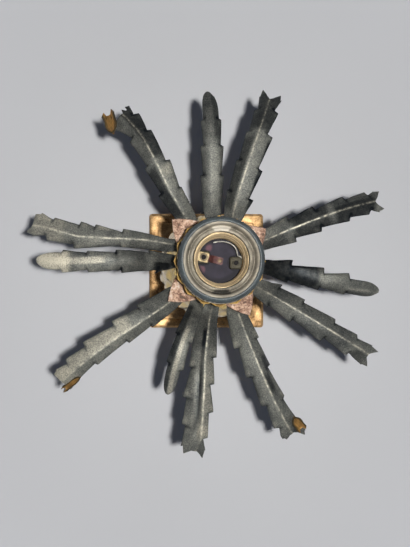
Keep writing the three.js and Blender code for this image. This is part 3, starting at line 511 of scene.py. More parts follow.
def bevelled(piece, width, segments=2):
    modifier = piece.modifiers.new("Bevel", "BEVEL")
    modifier.width = width
    modifier.segments = segments
    modifier.angle_limit = math.radians(SHARP_DEGREES)
    bake(piece)


def thickened(piece, thickness):
    """Gives a sheet its thickness; where it has a second material, its lower side takes that one."""
    modifier = piece.modifiers.new("Sheet", "SOLIDIFY")
    modifier.thickness = thickness
    modifier.offset = 0
    modifier.use_even_offset = False
    modifier.material_offset = min(1, max(0, len(piece.data.materials) - 1))
    bake(piece)


def cut_with(piece, cutter):
    modifier = piece.modifiers.new("Cut", "BOOLEAN")
    modifier.operation = "DIFFERENCE"
    modifier.solver = "EXACT"
    modifier.object = cutter
    bake(piece)
    bpy.data.objects.remove(cutter)


def dress(piece, materials, body, node):
    """Gives a finished piece its materials and tells the frame what it is."""
    kept = [polygon.material_index for polygon in piece.data.polygons]
    piece.data.materials.clear()
    for material in materials if isinstance(materials, list) else [materials]:
        piece.data.materials.append(material)
    piece.data.polygons.foreach_set("material_index", [min(k, len(piece.data.materials) - 1) for k in kept])
    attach(piece, body)
    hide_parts(node)


def dress_node(name, material):
    """A CAD node that keeps its own mesh takes a finish."""
    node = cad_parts[name]
    node.data.materials.clear()
    node.data.materials.append(material)


def set_attribute(piece, name, values, kind="FLOAT"):
    attribute = piece.data.attributes.new(name, kind, "POINT")
    attribute.data.foreach_set("vector" if kind == "FLOAT_VECTOR" else "value", values)


def profile_from(name, facets=CAD_FACETS):
    """The closed section of one of the frame's turned nodes, as (radius, height) points in order."""
    work = bmesh.new()
    work.from_mesh(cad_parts[name].data)
    bmesh.ops.remove_doubles(work, verts=work.verts, dist=1e-6)
    bmesh.ops.rotate(work, verts=work.verts, matrix=Matrix.Rotation(math.pi / facets, 3, "Z"))
    everything = work.verts[:] + work.edges[:] + work.faces[:]
    result = bmesh.ops.bisect_plane(work, geom=everything, plane_co=(0, 0, 0), plane_no=(0, 1, 0))
    edges = [e for e in result["geom_cut"] if isinstance(e, bmesh.types.BMEdge)]
    edges = [e for e in edges if all(v.co.x > 1e-5 for v in e.verts)]
    following = {}
    for edge in edges:
        first, second = edge.verts
        following.setdefault(first, []).append(second)
        following.setdefault(second, []).append(first)
    start = min(following, key=lambda v: (round(v.co.z, 6), v.co.x))
    loop = [start]
    while len(loop) < len(following):
        onward = [v for v in following[loop[-1]] if v not in loop[-2:] and v not in loop[:1]]
        if not onward:
            break
        loop.append(onward[0])
    widen = 1 / math.cos(math.pi / facets)
    points = [Vector((v.co.x * widen, v.co.z)) for v in loop]
    work.free()
    return straightened(points)


def straightened(points):
    """Drops the points of a closed outline that lie on a straight stretch."""
    kept = []
    for i, point in enumerate(points):
        before, after = points[i - 1], points[(i + 1) % len(points)]
        chord = after - before
        away = abs(chord.x * (point.y - before.y) - chord.y * (point.x - before.x))
        if away > DOUBLES * max(chord.length, 1e-6):
            kept.append(point)
    return kept


def rounded_outline(points, radius, steps=4):
    """Fillets the sharp corners of a closed outline and smooths its gently bent stretches."""
    result = []
    for i, point in enumerate(points):
        before, after = points[i - 1], points[(i + 1) % len(points)]
        inward, outward = (point - before), (after - point)
        reach = min(inward.length, outward.length) * 0.5
        if abs(inward.angle(outward, 0)) > math.radians(CORNER_DEGREES):
            reach = min(reach, radius)
        first = point - inward.normalized() * reach
        last = point + outward.normalized() * reach
        result += [quadratic(first, point, last, step / steps) for step in range(steps + 1)]
    return result


def quadratic(first, bend, last, t):
    return first * (1 - t) ** 2 + bend * 2 * t * (1 - t) + last * t ** 2


def cubic(first, near, far, last, t):
    return first * (1 - t) ** 3 + near * 3 * t * (1 - t) ** 2 + far * 3 * t * t * (1 - t) + last * t ** 3


def outline_of(*points):
    return [Vector(point) for point in points]


def turned(name, outline, segments=112):
    """A closed outline of (radius, height) points turned round the lamp's axis."""
    vertices = [polar(p.x, TAU * step / segments, p.y) for step in range(segments) for p in outline]
    return new_piece(name, vertices, grid_faces(segments, len(outline), wrap=True, closed=True))


def turned_copy(node, material, radius=0.25, facets=CAD_FACETS):
    """A fine copy of one of the frame's turned nodes, with its corners rounded."""
    piece = turned(f"fine_{node}", rounded_outline(profile_from(node, facets), radius * MM))
    dress(piece, material, "stand", node)


def grid_faces(rows, columns, wrap=False, closed=False):
    """The faces of a grid of vertices; wrap joins its last column to the first, and closed its last row."""
    faces = []
    for row in range(rows if closed else rows - 1):
        here, there = row * columns, (row + 1) % rows * columns
        for i in range(columns if wrap else columns - 1):
            k = (i + 1) % columns
            faces.append((here + i, here + k, there + k, there + i))
    return faces


def polar(radius, turn, z):
    return Vector((radius * math.cos(turn), radius * math.sin(turn), z))


def smoothstep(x, low, high):
    t = max(0.0, min(1.0, (x - low) / (high - low)))
    return t * t * (3 - 2 * t)


def lerp(a, b, t):
    return a + (b - a) * t


# Geometry Nodes


def node_group(name, sockets):
    """An empty Geometry Nodes tree with a geometry in and out and the named inputs."""
    group = bpy.data.node_groups.new(name, "GeometryNodeTree")
    for label, kind in {"Geometry": "Geometry", **sockets, "Material": "Material"}.items():
        group.interface.new_socket(label, in_out="INPUT", socket_type=f"NodeSocket{kind}")
    group.interface.new_socket("Geometry", in_out="OUTPUT", socket_type="NodeSocketGeometry")
    wiring = Wiring(group)
    return group, wiring, wiring.add("NodeGroupInput").outputs


def end_group(wiring, given, geometry):
    """Ends a tree: its geometry is shaded smooth, realized and given its material."""
    shaded = wiring.add("GeometryNodeSetShadeSmooth", {"Geometry": geometry})
    realized = wiring.add("GeometryNodeRealizeInstances", {"Geometry": shaded})
    painted = wiring.add("GeometryNodeSetMaterial", {"Geometry": realized, "Material": given["Material"]})
    wiring.feed(wiring.add("NodeGroupOutput").inputs["Geometry"], painted)


def apply_group(piece, group, values):
    """Runs a Geometry Nodes tree on a piece with named values and turns the result into plain mesh."""
    modifier = piece.modifiers.new(group.name, "NODES")
    modifier.node_group = group
    for item in group.interface.items_tree:
        if item.item_type == "SOCKET" and item.in_out == "INPUT" and item.name in values:
            modifier[item.identifier] = values[item.name]
    bake(piece)


def scale_tree():
    """Raises every marked face to a scale: a sloping border, a raised middle and a small knob."""
    group, wiring, given = node_group("Scales", {"Relief": "Float", "Border": "Float", "Knob": "Float"})
    marked = wiring.add("GeometryNodeInputNamedAttribute", {"Name": "scale"}, data_type="BOOLEAN")
    mesh, top = given["Geometry"], marked.outputs["Attribute"]
    for lift, size in ((0.62, "Border"), (0.5, "Knob")):
        raised = wiring.add("GeometryNodeExtrudeMesh", {
            "Mesh": mesh, "Selection": top, "Offset Scale": wiring.times(given["Relief"], lift), "Individual": True,
        }, mode="FACES").outputs
        top = raised["Top"]
        mesh = wiring.add("GeometryNodeScaleElements", {
            "Geometry": raised["Mesh"], "Selection": top, "Scale": given[size],
        }, domain="FACE")
    end_group(wiring, given, wiring.add("GeometryNodeSubdivisionSurface", {"Mesh": mesh, "Level": 2}))
    return group


def rib_tree():
    """Sets upright rounded ribs round the lamp's axis and joins them to the ring that they stand on."""
    group, wiring, given = node_group("Ribs", {
        "Count": "Int", "Ring radius": "Float", "Rib radius": "Float", "Rib height": "Float",
        "Middle height": "Float",
    })
    circle = wiring.add("GeometryNodeMeshCircle", {"Vertices": given["Count"], "Radius": given["Ring radius"]})
    rib = wiring.add("GeometryNodeMeshUVSphere", {"Segments": 8, "Rings": 8, "Radius": given["Rib radius"]})
    stretch = wiring.math("DIVIDE", wiring.times(given["Rib height"], 0.5), given["Rib radius"])
    tall = wiring.add("GeometryNodeTransform", {
        "Geometry": rib, "Scale": wiring.add("ShaderNodeCombineXYZ", {0: 1.0, 1: 1.0, 2: stretch}),
    })
    placed = wiring.add("GeometryNodeInstanceOnPoints", {"Points": circle, "Instance": tall})
    lifted = wiring.add("GeometryNodeTransform", {
        "Geometry": placed, "Translation": wiring.add("ShaderNodeCombineXYZ", {2: given["Middle height"]}),
    })
    joined = wiring.add("GeometryNodeJoinGeometry", {0: lifted})
    wiring.feed(joined.inputs[0], given["Geometry"])
    end_group(wiring, given, joined)
    return group


# The long leaves. Each follows the same path as its node in the frame: straight in the cup, a rise, an arch
# and a drooping tip

CUP_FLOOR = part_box("crown_cup")[0].z + 2 * MM
CUP_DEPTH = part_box("crown_cup")[1].z - CUP_FLOOR
CUP_FLOOR_RADIUS = 14 * MM
CUP_RIM_RADIUS = 22 * MM
CUP_SLOPE = math.atan2(CUP_DEPTH, CUP_RIM_RADIUS - CUP_FLOOR_RADIUS)
LEAF_INSET = 1.485 * MM             # root's middle line inside the cup's wall, measured level
LEAF_ROOT_START = 1.6 * MM
LEAF_TAB = CUP_DEPTH / math.sin(CUP_SLOPE) - LEAF_ROOT_START + 2.2 * MM
LEAF_REACH = 109 * MM
LEAF_CREST = 38 * MM
LEAF_RISE = 22 * MM
LEAF_SHOULDER = 12 * MM
ROOT_HALF_WIDTH = 2.3 * MM
TAB_HALF_WIDTH = 3.5 * MM
TOOTH_DROP = 1.5 * MM
LEAF_SHARES = [0, 0.035, 0.09, 0.2, 0.32, 0.44, 0.56, 0.68, 0.79, 0.88, 0.95, 1]    # points from ridge to edge

FORKED = {"half": 6.3, "handle": 34 * MM, "nose": 0}
ROUNDED = {"half": 5.3, "handle": 32 * MM, "nose": 12}

# The leaves as measured. The path is given as in the part's source: degrees for the tip, the root's lean and
# the droop, shares for the rest. The outline lies on the path in a view from above, in mm: every tooth as
# (distance from the root, width at its corner, width behind it), and the end as (width, distance) from the
# left edge to the right one. "ridge" shifts the ridge to the left at some distances, "roll" turns the leaf's
# left side down, and "crest" is how broadly the ridge is rounded, in mm. "bends" are stretches (from, to, width
# from, width to) with their added slope in degrees, and "shades" are stretches of painted shade on the patina,
# turned into a painted highlight where the last number is negative. A leaf without a shifted ridge or bends
# leaves them out
LEAVES = [
    {"node": "leaf_round_1", "kind": ROUNDED, "angle": -10, "lean": -3, "rise": 1, "droop": 30,
     "reach": 0.853, "drop": 0.47, "sway": (-0.57, -0.57), "roll": -14, "ridge": [(26, 0.8), (60, 1.6)],
     "left": [(36.5, 8.3, 5.2), (55.5, 8.2, 5), (71, 8, 5)],
     "right": [(36, 4.2, 3), (55, 4, 2.6), (71, 3.6, 2.7)], "end": [(5, 92.8), (-3.5, 92.8)],
     "shades": [(18, 58, -6, 9, 0.9), (57, 92, -4, -1.5, 0.5), (58, 92, -1.5, 9, 0.25), (70, 90, -0.8, 0.8, -0.5)]},
    {"node": "leaf_forked_1", "kind": FORKED, "angle": 21, "lean": -3, "rise": 1, "droop": 34,
     "reach": 0.927, "drop": 0.58, "sway": (-0.24, 0.8), "crest": 1.2, "roll": 0,
     "left": [(41, 7.6, 5.3), (57.5, 7.3, 5.2), (76.5, 7, 5), (91.5, 6.3, 4)],
     "right": [(41, 7.6, 5.3), (57.5, 7.3, 5.2), (76.5, 7, 5), (91.5, 6.3, 4)],
     "end": [(6.3, 101), (5.7, 99.3), (5, 104), (1.6, 98), (0, 95.7), (-1.4, 97.2), (-5, 103), (-5.5, 99.3),
             (-6, 100.5)],
     "shades": [(18, 40, -9, 1, 0.35), (41, 68, -9, 9, 0.8), (66, 99, -9, 2.6, 0.8), (66, 99, 2.6, 9, 0.45)]},
    {"node": "leaf_forked_2", "kind": FORKED, "angle": 72, "lean": 7, "rise": 1.15, "droop": 38,
     "reach": 0.936, "drop": 0.63, "sway": (0.95, 0), "crest": 2.6, "roll": 15,
     "left": [(36, 6.2, 5.3), (55, 6.3, 5.2), (73.5, 6.2, 4.9), (90, 6, 4.3)],
     "right": [(34.5, 9, 6.5), (53, 9, 6.3), (74, 8.3, 5), (90.5, 7, 4.5)],
     "end": [(5.7, 103.5), (5.3, 102.6), (4.9, 108.5), (1.4, 100.8), (0, 98.5), (-1.6, 99.8), (-5.6, 105.3),
             (-6.1, 101), (-6.6, 102.5)],
     "shades": [(24, 74, 1.2, 7, 0.55), (26, 74, -10, -6.4, 0.9), (74, 108, -8, 7, 0.7)]},
    {"node": "leaf_round_2", "kind": ROUNDED, "angle": 93, "lean": 2.5, "rise": 0.8, "droop": 36,
     "reach": 0.89, "drop": 0.58, "sway": (0.57, -0.57), "roll": 0,
     "left": [(44, 6.3, 5), (61, 6.2, 4.5), (77, 5.5, 4)],
     "right": [(44, 6.3, 5), (61, 6.2, 4.6), (77, 5.6, 4.4)], "end": [(3.7, 97), (-4.5, 97)],
     "shades": [(24, 64, 1, 7, 0.35), (24, 64, -6, -3.8, 0.3), (63, 99, -6, -1.4, 0.65), (63, 99, -1.4, 7, 0.35)]},
    {"node": "leaf_forked_3", "kind": FORKED, "angle": 125, "lean": 2, "rise": 1, "droop": 38,
     "reach": 0.954, "drop": 0.63, "sway": (0.7, -1.1), "crest": 1.8, "roll": 4,
     "ridge": [(45, -0.4), (62, -2), (80, -3.8)],
     "left": [(44, 6.3, 4.5), (62, 5, 3.3), (81.5, 3.3, 1.2)],
     "right": [(42, 7, 6), (59, 9.3, 7), (79.5, 10, 8), (93, 11, 8.3)],
     "end": [(5.2, 100.6), (3.2, 99.4), (1, 98.8), (-0.8, 98), (-2.6, 101), (-4.6, 98.6), (-6, 99), (-8, 104),
             (-9.3, 101), (-10.5, 102.5)],
     "shades": [(26, 63, 0.2, 7, 0.75), (50, 61, -8, -2, -0.35), (62, 106, -12, -2.6, 0.8), (62, 92, -2.6, 4, 0.4)]},
    {"node": "leaf_forked_4", "kind": FORKED, "angle": 168, "lean": 5, "rise": 0.7, "droop": 26,
     "reach": 0.982, "drop": 0.42, "sway": (-0.4, 0.16), "crest": 0.7, "roll": 0,
     "ridge": [(40, 1), (58, 2.2), (76, 3), (94, 0.6)],
     "left": [(51, 6.2, 5.6), (77, 9.5, 7.5), (93.5, 7, 4.6)],
     "right": [(50, 3.6, 1.6), (66, 4.6, 3.2), (75, 5.4, 3.3), (91, 5.6, 4.4)],
     "end": [(6.2, 104), (5.6, 103), (4.8, 107.6), (1.8, 104.4), (0, 103), (-2, 103.3), (-5.8, 105), (-6.4, 101.4),
             (-7, 102.2)],
     "shades": [(18, 50, -8, 8, 0.2), (55, 67, -4, -2, -0.5), (82, 106, -8, 8, -0.4), (90, 106, -8, -3, -0.4)]},
    {"node": "leaf_round_3", "kind": ROUNDED, "angle": 179, "lean": -2, "rise": 1.6, "droop": 26,
     "reach": 0.927, "drop": 0.24, "sway": (-0.8, 1.1), "roll": 3, "ridge": [(30, 1.4), (52, 0.4), (86, -0.6)],
     "left": [(28, 8, 6), (52, 6.6, 5), (71, 5, 3.6), (86, 4.9, 3.4)],
     "right": [(34.5, 4.6, 3.4), (54.5, 5.7, 4.4), (71, 6.2, 5.2), (86, 7, 5.4)],
     "end": [(4.3, 102), (-5, 102)],
     "shades": [(18, 36, 1.5, 9, 0.9), (36, 60, -6, 8, 0.5), (60, 103, -3, 0.6, -0.5), (80, 104, -6, 6, -1.2)]},
    {"node": "leaf_forked_5", "kind": FORKED, "angle": 217, "lean": 5, "rise": 1, "droop": 24,
     "reach": 1, "drop": 0.37, "sway": (0.95, -0.8), "crest": 1.0, "roll": 8, "ridge": [(50, 0.5), (90, 1)],
     "left": [(45, 6.3, 5.2), (61.5, 6.5, 5), (84, 6.5, 5)],
     "right": [(46, 8.5, 6.6), (63, 8.5, 5.8), (83, 8, 5.2), (97, 6.7, 4.3)],
     "end": [(6.9, 109), (6.4, 107.6), (5.6, 112.4), (3, 108.6), (1.5, 107), (-0.5, 107.4), (-5.2, 109.4),
             (-5.7, 107.2), (-6.3, 107.6)],
     "shades": [(18, 49, -9, 7, 0.25), (54, 112, -9, 0.6, -0.5), (96, 112, -6, 6, -0.3)]},
    {"node": "leaf_round_4", "kind": ROUNDED, "angle": 249, "lean": 2, "rise": 1.5, "droop": 30,
     "reach": 0.725, "drop": 0.31, "sway": (0.3, -1.0), "roll": -10, "ridge": [(30, 0.8), (60, 1)],
     "left": [(47, 6, 5), (64, 6, 4.4)], "right": [(44, 4, 3), (62, 3.7, 2.7)],
     "end": [(4.2, 82), (-2.8, 82)],
     "shades": [(20, 84, -5, -0.2, 0.7), (38, 84, 0, 2.4, -0.5)]},
    {"node": "leaf_forked_6", "kind": FORKED, "angle": 263, "lean": -3, "rise": 0.75, "droop": 24,
     "reach": 0.991, "drop": 0.42, "sway": (-0.6, 0.32), "crest": 0.6, "roll": 4,
     "ridge": [(50, -0.5), (95, 2.5), (103, 0.6)],
     "left": [(47, 5.6, 3.8), (62.5, 5.8, 3.5), (78.5, 7, 4.5), (93.5, 5.9, 3.4)],
     "right": [(54, 8.6, 7.4), (72, 10.3, 8.3), (88.5, 9, 7)],
     "end": [(5.9, 103.4), (5.5, 102.6), (5, 108.2), (2.4, 104.5), (0.5, 102.5), (-2, 103.2), (-5.7, 106.8),
             (-6.6, 102.8), (-7.6, 103.8)],
     "bends": [(55, 98, -2.6, -0.6, 26), (55, 98, -5, -2.6, -34)],
     "shades": [(20, 46, -9, 7, 0.35), (48, 96, 0, 7, -0.25), (84, 97, 0, 7, -0.4), (30, 94, -3, -0.8, 0.7)]},
    {"node": "leaf_forked_7", "kind": FORKED, "angle": 294, "lean": -5, "rise": 1, "droop": 26,
     "reach": 0.982, "drop": 0.42, "sway": (-0.24, -0.8), "crest": 0.5, "roll": 8,
     "left": [(42, 6, 4.6), (60, 6.2, 4.4), (81, 6.2, 4.7)],
     "right": [(43.5, 9, 6.5), (61.5, 8.5, 6), (79.5, 7.5, 5), (94.5, 7, 4.5)],
     "end": [(7.6, 109.6), (6.9, 108.4), (6.2, 110.6), (3, 105.2), (0.7, 102.7), (-1.6, 103), (-4.4, 105.6),
             (-5.2, 103.4), (-6, 104.6)],
     "bends": [(50, 84, 2.4, 7, 26)],
     "shades": [(51, 66, 2.6, 7, 0.85), (62, 78, 0.6, 3.4, 0.8), (63, 78, -7, 0.4, 0.4)]},
    {"node": "leaf_forked_8", "kind": FORKED, "angle": 329, "lean": 0, "rise": 1, "droop": 28,
     "reach": 0.954, "drop": 0.45, "sway": (0, 0), "crest": 0.6, "roll": 2,
     "left": [(31, 8.2, 6), (48, 7.3, 5.4), (69.5, 6.8, 4.7), (86, 5.9, 4)],
     "right": [(31, 6.6, 5.6), (47.5, 7.6, 5.5), (68.5, 7.8, 5.3), (86, 7, 5)],
     "end": [(5.3, 99.4), (4.8, 98.4), (4, 104.4), (1.3, 99.4), (0, 97.5), (-2, 98), (-6, 103.4), (-6.5, 99),
             (-6.9, 100)],
     "bends": [(86, 99, -8, -1, 14)],
     "shades": [(20, 88, -9, 9, 0.2), (86, 100, -7, -0.8, 0.5)]},
]

# Horns that are curled over and show their bare underside: the middle as a distance along the leaf and a
# width, its size in mm, its turn from the leaf's direction and its height over the leaf
CURLS = {
    "leaf_forked_3": {"middle": (99.0, 4.6), "size": (14.4, 7.2), "turn": -26, "lift": 1.6},
    "leaf_forked_7": {"middle": (99.0, 5.7), "size": (9.0, 5.6), "turn": 4, "lift": 1.6},
    "leaf_forked_5": {"middle": (103.5, 5.4), "size": (12.0, 3.3), "turn": -6, "lift": 0.8},
}


class LeafPath:
    """The middle line of a leaf, read by the distance from its root; straight on past its end."""

    def __init__(self, index, samples=420):
        shape = LEAVES[index]
        root_turn = math.radians(index * 30 + shape["lean"])
        tip_turn = math.radians(shape["angle"])
        droop = math.radians(shape["droop"])
        root_z = CUP_FLOOR + LEAF_ROOT_START * math.sin(CUP_SLOPE)
        root_radius = CUP_FLOOR_RADIUS + (root_z - CUP_FLOOR) / math.tan(CUP_SLOPE) - LEAF_INSET
        root = polar(root_radius, root_turn, root_z)
        along = polar(math.cos(CUP_SLOPE), root_turn, math.sin(CUP_SLOPE))
        tab = root + along * LEAF_TAB
        end = polar(shape["reach"] * LEAF_REACH, tip_turn, CUP_FLOOR + LEAF_CREST * (1 - shape["drop"]))
        out = polar(math.cos(droop), tip_turn, -math.sin(droop))
        sideways = polar(shape["kind"]["half"] * MM, tip_turn + math.pi / 2, 0)
        near = tab + along * LEAF_RISE * shape["rise"] + sideways * shape["sway"][0]
        far = end - out * shape["kind"]["handle"] + sideways * shape["sway"][1]
        self.points = [root.lerp(tab, i / 20) for i in range(20)]
        self.points += [cubic(tab, near, far, end, i / samples) for i in range(samples + 1)]
        self.points += [end + out * i * MM for i in range(1, 13)]
        self.distances = [0.0]
        for a, b in zip(self.points, self.points[1:]):
            self.distances.append(self.distances[-1] + (b - a).length)

    def at(self, s):
        """Position, direction, sideways and down at a distance."""
        high = min(max(bisect.bisect_right(self.distances, s), 1), len(self.distances) - 1)
        span = self.distances[high] - self.distances[high - 1]
        place = self.points[high - 1].lerp(self.points[high], (s - self.distances[high - 1]) / span)
        first, last = self.points[max(high - 7, 0)], self.points[min(high + 6, len(self.points) - 1)]
        along = (last - first).normalized()
        sideways = Vector((-along.y, along.x, 0)).normalized()
        return place, along, sideways, sideways.cross(along).normalized()


def between(knots, s):
    """The value at s of a line through (s, value) knots."""
    if s <= knots[0][0]:
        return knots[0][1]
    for (a, low), (b, high) in zip(knots, knots[1:]):
        if s <= b:
            return lerp(low, high, (s - a) / (b - a)) if b > a else high
    return knots[-1][1]


def edge_knots(teeth, last):
    """(distance, width) corners of one edge, from its blade's start to its end, in metres."""
    knots = [((LEAF_TAB + LEAF_SHOULDER) / MM, teeth[0][2])]
    for tip, corner, behind in teeth:
        knots += [(tip, corner), (tip + TOOTH_DROP / MM, behind)]
    knots.append((last[1], abs(last[0])))
    return [(s * MM, width * MM) for s, width in sorted(knots)]


def edge_width(shape, knots, s):
    """Width of one side at a distance, with the narrow root and the rounded nose."""
    blade = between(knots, max(s, LEAF_TAB + LEAF_SHOULDER))
    root = lerp(ROOT_HALF_WIDTH, TAB_HALF_WIDTH, min(1, s / LEAF_TAB))
    width = lerp(root, blade, smoothstep(s, LEAF_TAB, LEAF_TAB + LEAF_SHOULDER))
    nose = shape["kind"]["nose"] * MM
    if nose:
        share_left = 1 - min(1, max(0, (s - (knots[-1][0] - nose)) / nose)) ** 2.3
        return max(0.12 * MM, width * math.sqrt(share_left))
    return width


def leaf_drop(shape, settings, s, side, across):
    """How far the surface lies under the ridge at a distance across from it, in a view from above."""
    opened = smoothstep(s, LEAF_TAB, LEAF_TAB + LEAF_SHOULDER)
    roll = math.radians(shape["roll"]) * side
    steps = 10
    depth = 0.0
    for i in range(steps):
        here = across * (i + 0.5) / steps
        if shape["kind"]["nose"]:
            slope = math.asin(min(0.85, here / settings.round_radius)) + roll
        else:
            share_out = min(1, here / (6 * MM))
            slope = lerp(settings.ridge_fold, settings.edge_fold, share_out ** 1.4) + roll
            slope *= smoothstep(here, -0.3 * shape["crest"] * MM, shape["crest"] * MM)
        slope += math.radians(stretches(shape.get("bends", []), s, side * here, 6))
        depth += math.tan(max(-1.2, min(1.25, slope))) * across / steps
    return depth * opened


def stretches(listed, s, width, fade):
    """The sum of the stretches that hold a point of the leaf, each fading out over its ends."""
    total = 0.0
    for first, last, low, high, amount in listed:
        inside = smoothstep(width / MM, low - 0.5, low + 0.5) * (1 - smoothstep(width / MM, high - 0.5, high + 0.5))
        window = smoothstep(s / MM, first, first + fade) * (1 - smoothstep(s / MM, last - fade, last))
        total += amount * inside * window
    return total


def end_share(end, width):
    """A width at a forked end as a share of its side: 1 at the left edge, -1 at the right one."""
    return width / (end[0][0] if width > 0 else -end[-1][0])


def leaf_stations(shape, knots):
    """Distances of the cross-sections: close together everywhere and exactly at each tooth's corners."""
    last = max(side[-1][0] for side in knots.values())
    marks = {0.0, LEAF_TAB, last}
    for side in knots.values():
        for s, _ in side[1:-1]:
            marks.update((s - 0.6 * MM, s, s + 0.5 * TOOTH_DROP))
    if shape["kind"]["nose"]:
        marks.update(last - offset * MM for offset in (0.15, 0.5, 1, 1.7, 2.6, 3.6, 5))
    ordered = sorted(m for m in marks if 0 <= m <= last)
    stations = [ordered[0]]
    for mark in ordered[1:]:
        gap = mark - stations[-1]
        if gap > 0.12 * MM:
            parts = max(1, math.ceil(gap / (1.4 * MM)))
            start = stations[-1]
            stations += [start + gap * i / parts for i in range(1, parts + 1)]
    return stations


def build_leaf(index, settings, materials):
    """One leaf as a sheet with a crisp ridge, hooked teeth, hammer marks and its own kind of tip."""
    shape = LEAVES[index]
    path = LeafPath(index)
    end = shape["end"]
    knots = {1: edge_knots(shape["left"], end[0]), -1: edge_knots(shape["right"], end[-1])}
    ridge = [(s * MM, width * MM) for s, width in shape.get("ridge", [(0, 0.0)])]
    forked = not shape["kind"]["nose"]
    columns = sorted({-v for v in LEAF_SHARES} | set(LEAF_SHARES), reverse=True)
    if forked:
        stops = sorted((end_share(end, width), s) for width, s in end)
        marks = [v for v, _ in stops[1:-1]]
        columns = [v for v in columns if all(abs(v - mark) > 0.03 for mark in marks)]
        columns = sorted(columns + marks, reverse=True)
    fork_start = (min(s for _, s in end) - 6) * MM
    vertices, ridge_wear_and_sheen, shade, streak = [], [], [], []
    seed = Vector((index * 3.7, index * 1.3, 0))
    stations = leaf_stations(shape, knots)
    for s in stations:
        opened = smoothstep(s, LEAF_TAB, LEAF_TAB + LEAF_SHOULDER)
        for v in columns:
            side = 1 if v >= 0 else -1
            here = s
            if forked and s > fork_start:
                stop = between(stops, v) * MM
                here = lerp(fork_start, stop, (s - fork_start) / (stations[-1] - fork_start))
            shift = between(ridge, here) * opened
            edge = side * edge_width(shape, knots[side], s if forked else here)
            limits = [0.8 * edge_width(shape, knots[k], here) for k in (1, -1)]
            middle = min(max(shift, -limits[1]), limits[0])
            width = lerp(middle, edge, abs(v))
            for tip, _ in knots[side][1:-1:2]:
                near = math.exp(-((s - tip) / (0.8 * MM)) ** 2)
                here += near * 0.9 * MM * abs(v) ** 8
            place, _, sideways, down = path.at(here)
            across = abs(width - middle)
            wave = 0.12 * noise.noise(seed + Vector((here * 60, side * 4.0, 0.5)))
            depth = leaf_drop(shape, settings, here, side, across) + wave * across * opened
            depth += settings.edge_lip * smoothstep(abs(v), 0.84, 1.0) * opened
            point = place + sideways * width + down * depth
            dent = noise.noise(point * 130 + seed) + 0.5 * noise.noise(point * 320 + seed)
            point -= down * dent * settings.hammering * opened
            vertices.append(point)
            # Patina thinned along a forked leaf's ridge, standing also for the ridge's painted highlight
            crest = math.exp(-(across / (0.35 * MM)) ** 2) * opened * (0.7 if forked else 0.0)
            ridge_wear_and_sheen.append(crest)
            # Painted shade: the leaf's shade stretches, a dark outline along its edges and a painted shadow just
            # behind each tooth; painted highlight: the negative stretches and each tooth's point
            patina = stretches(shape["shades"], here, width, 5) + 0.8 * smoothstep(abs(v), 0.93, 1.0)
            for tip, _ in knots[side][1:-1:2]:
                behind = math.exp(-((s - tip - 1.3 * MM) / (1.0 * MM)) ** 2)
                before = math.exp(-((s - tip + 1.6 * MM) / (1.3 * MM)) ** 2)
                patina += 0.7 * behind * smoothstep(abs(v), 0.45, 0.85) - 0.3 * before * smoothstep(abs(v), 0.55, 0.9)
            shade.append(patina)
            streak += [v * 9, s * 40, index]
    faces = grid_faces(len(stations), len(columns))
    leaf_faces = len(faces)
    if shape["node"] in CURLS:
        add_curl(path, CURLS[shape["node"]], vertices, faces, streak, index)
        ridge_wear_and_sheen += [0.2] * (len(vertices) - len(ridge_wear_and_sheen))
        shade += [0.0] * (len(vertices) - len(shade))
    piece = linked("fine_" + shape["node"], vertices, faces)
    set_attribute(piece, "ridge_wear_and_sheen", ridge_wear_and_sheen)
    set_attribute(piece, "shade", shade)
    set_attribute(piece, "streak", streak, "FLOAT_VECTOR")
    for material in materials:
        piece.data.materials.append(material)
    turn_up(piece)
    for polygon in piece.data.polygons[leaf_faces:]:
        polygon.material_index = 1
    thickened(piece, settings.sheet)
    sharpen(piece, 50)
    dress(piece, materials, "stand", shape["node"])


def turn_up(piece):
    """Turns a sheet's faces so that most of them look up."""
    up = sum(p.normal.z * p.area for p in piece.data.polygons)
    if up < 0:
        piece.data.flip_normals()


def add_curl(path, curl, vertices, faces, streak, index):
    """A horn that is curled over: a small pointed blade with two spikes, hollow side up."""
    s, width = curl["middle"]
    place, along, sideways, down = path.at(s * MM)
    middle = place + sideways * width * MM + down * (abs(width) * 0.4 - curl["lift"]) * MM
    turn = math.radians(curl["turn"])
    forward = along * math.cos(turn) + sideways * math.sin(turn)
    leftward = forward.cross(down).normalized()
    long_side, short_side = (value * MM for value in curl["size"])
    rows, columns = 13, 7
    first = len(vertices)
    for i in range(rows):
        t = i / (rows - 1) * 2 - 1
        half = short_side / 2 * ((1 - abs(t) ** 2.2) ** 0.8 if t < 0.3 else 0.94 + 0.2 * (t - 0.3))
        for k in range(columns):
            v = k / (columns - 1) * 2 - 1
            spike = (0.34 if k in (1, 5) else -0.08) if i == rows - 1 else 0.0
            cup = (v * v - 0.5) * short_side * 0.22 + t * t * long_side * 0.06
            vertices.append(
                middle + forward * (t + spike) * long_side / 2 + leftward * v * max(half, 0.05 * MM) - down * cup
            )
            streak += [v * 5, t * 1.2, index]
    for a, b, c, d in grid_faces(rows, columns):
        faces.append((first + a, first + b, first + c, first + d))


# The other pieces


def square_ring(half, z, corner, steps=7):
    """Points round a square with rounded corners; a corner radius equal to half gives a circle."""
    points = []
    for quarter in range(4):
        middle = polar((half - corner) * math.sqrt(2), (quarter + 0.5) * TAU / 4, z)
        for step in range(steps + 1):
            points.append(middle + polar(corner, (quarter + step / steps) * TAU / 4, 0))
    return points


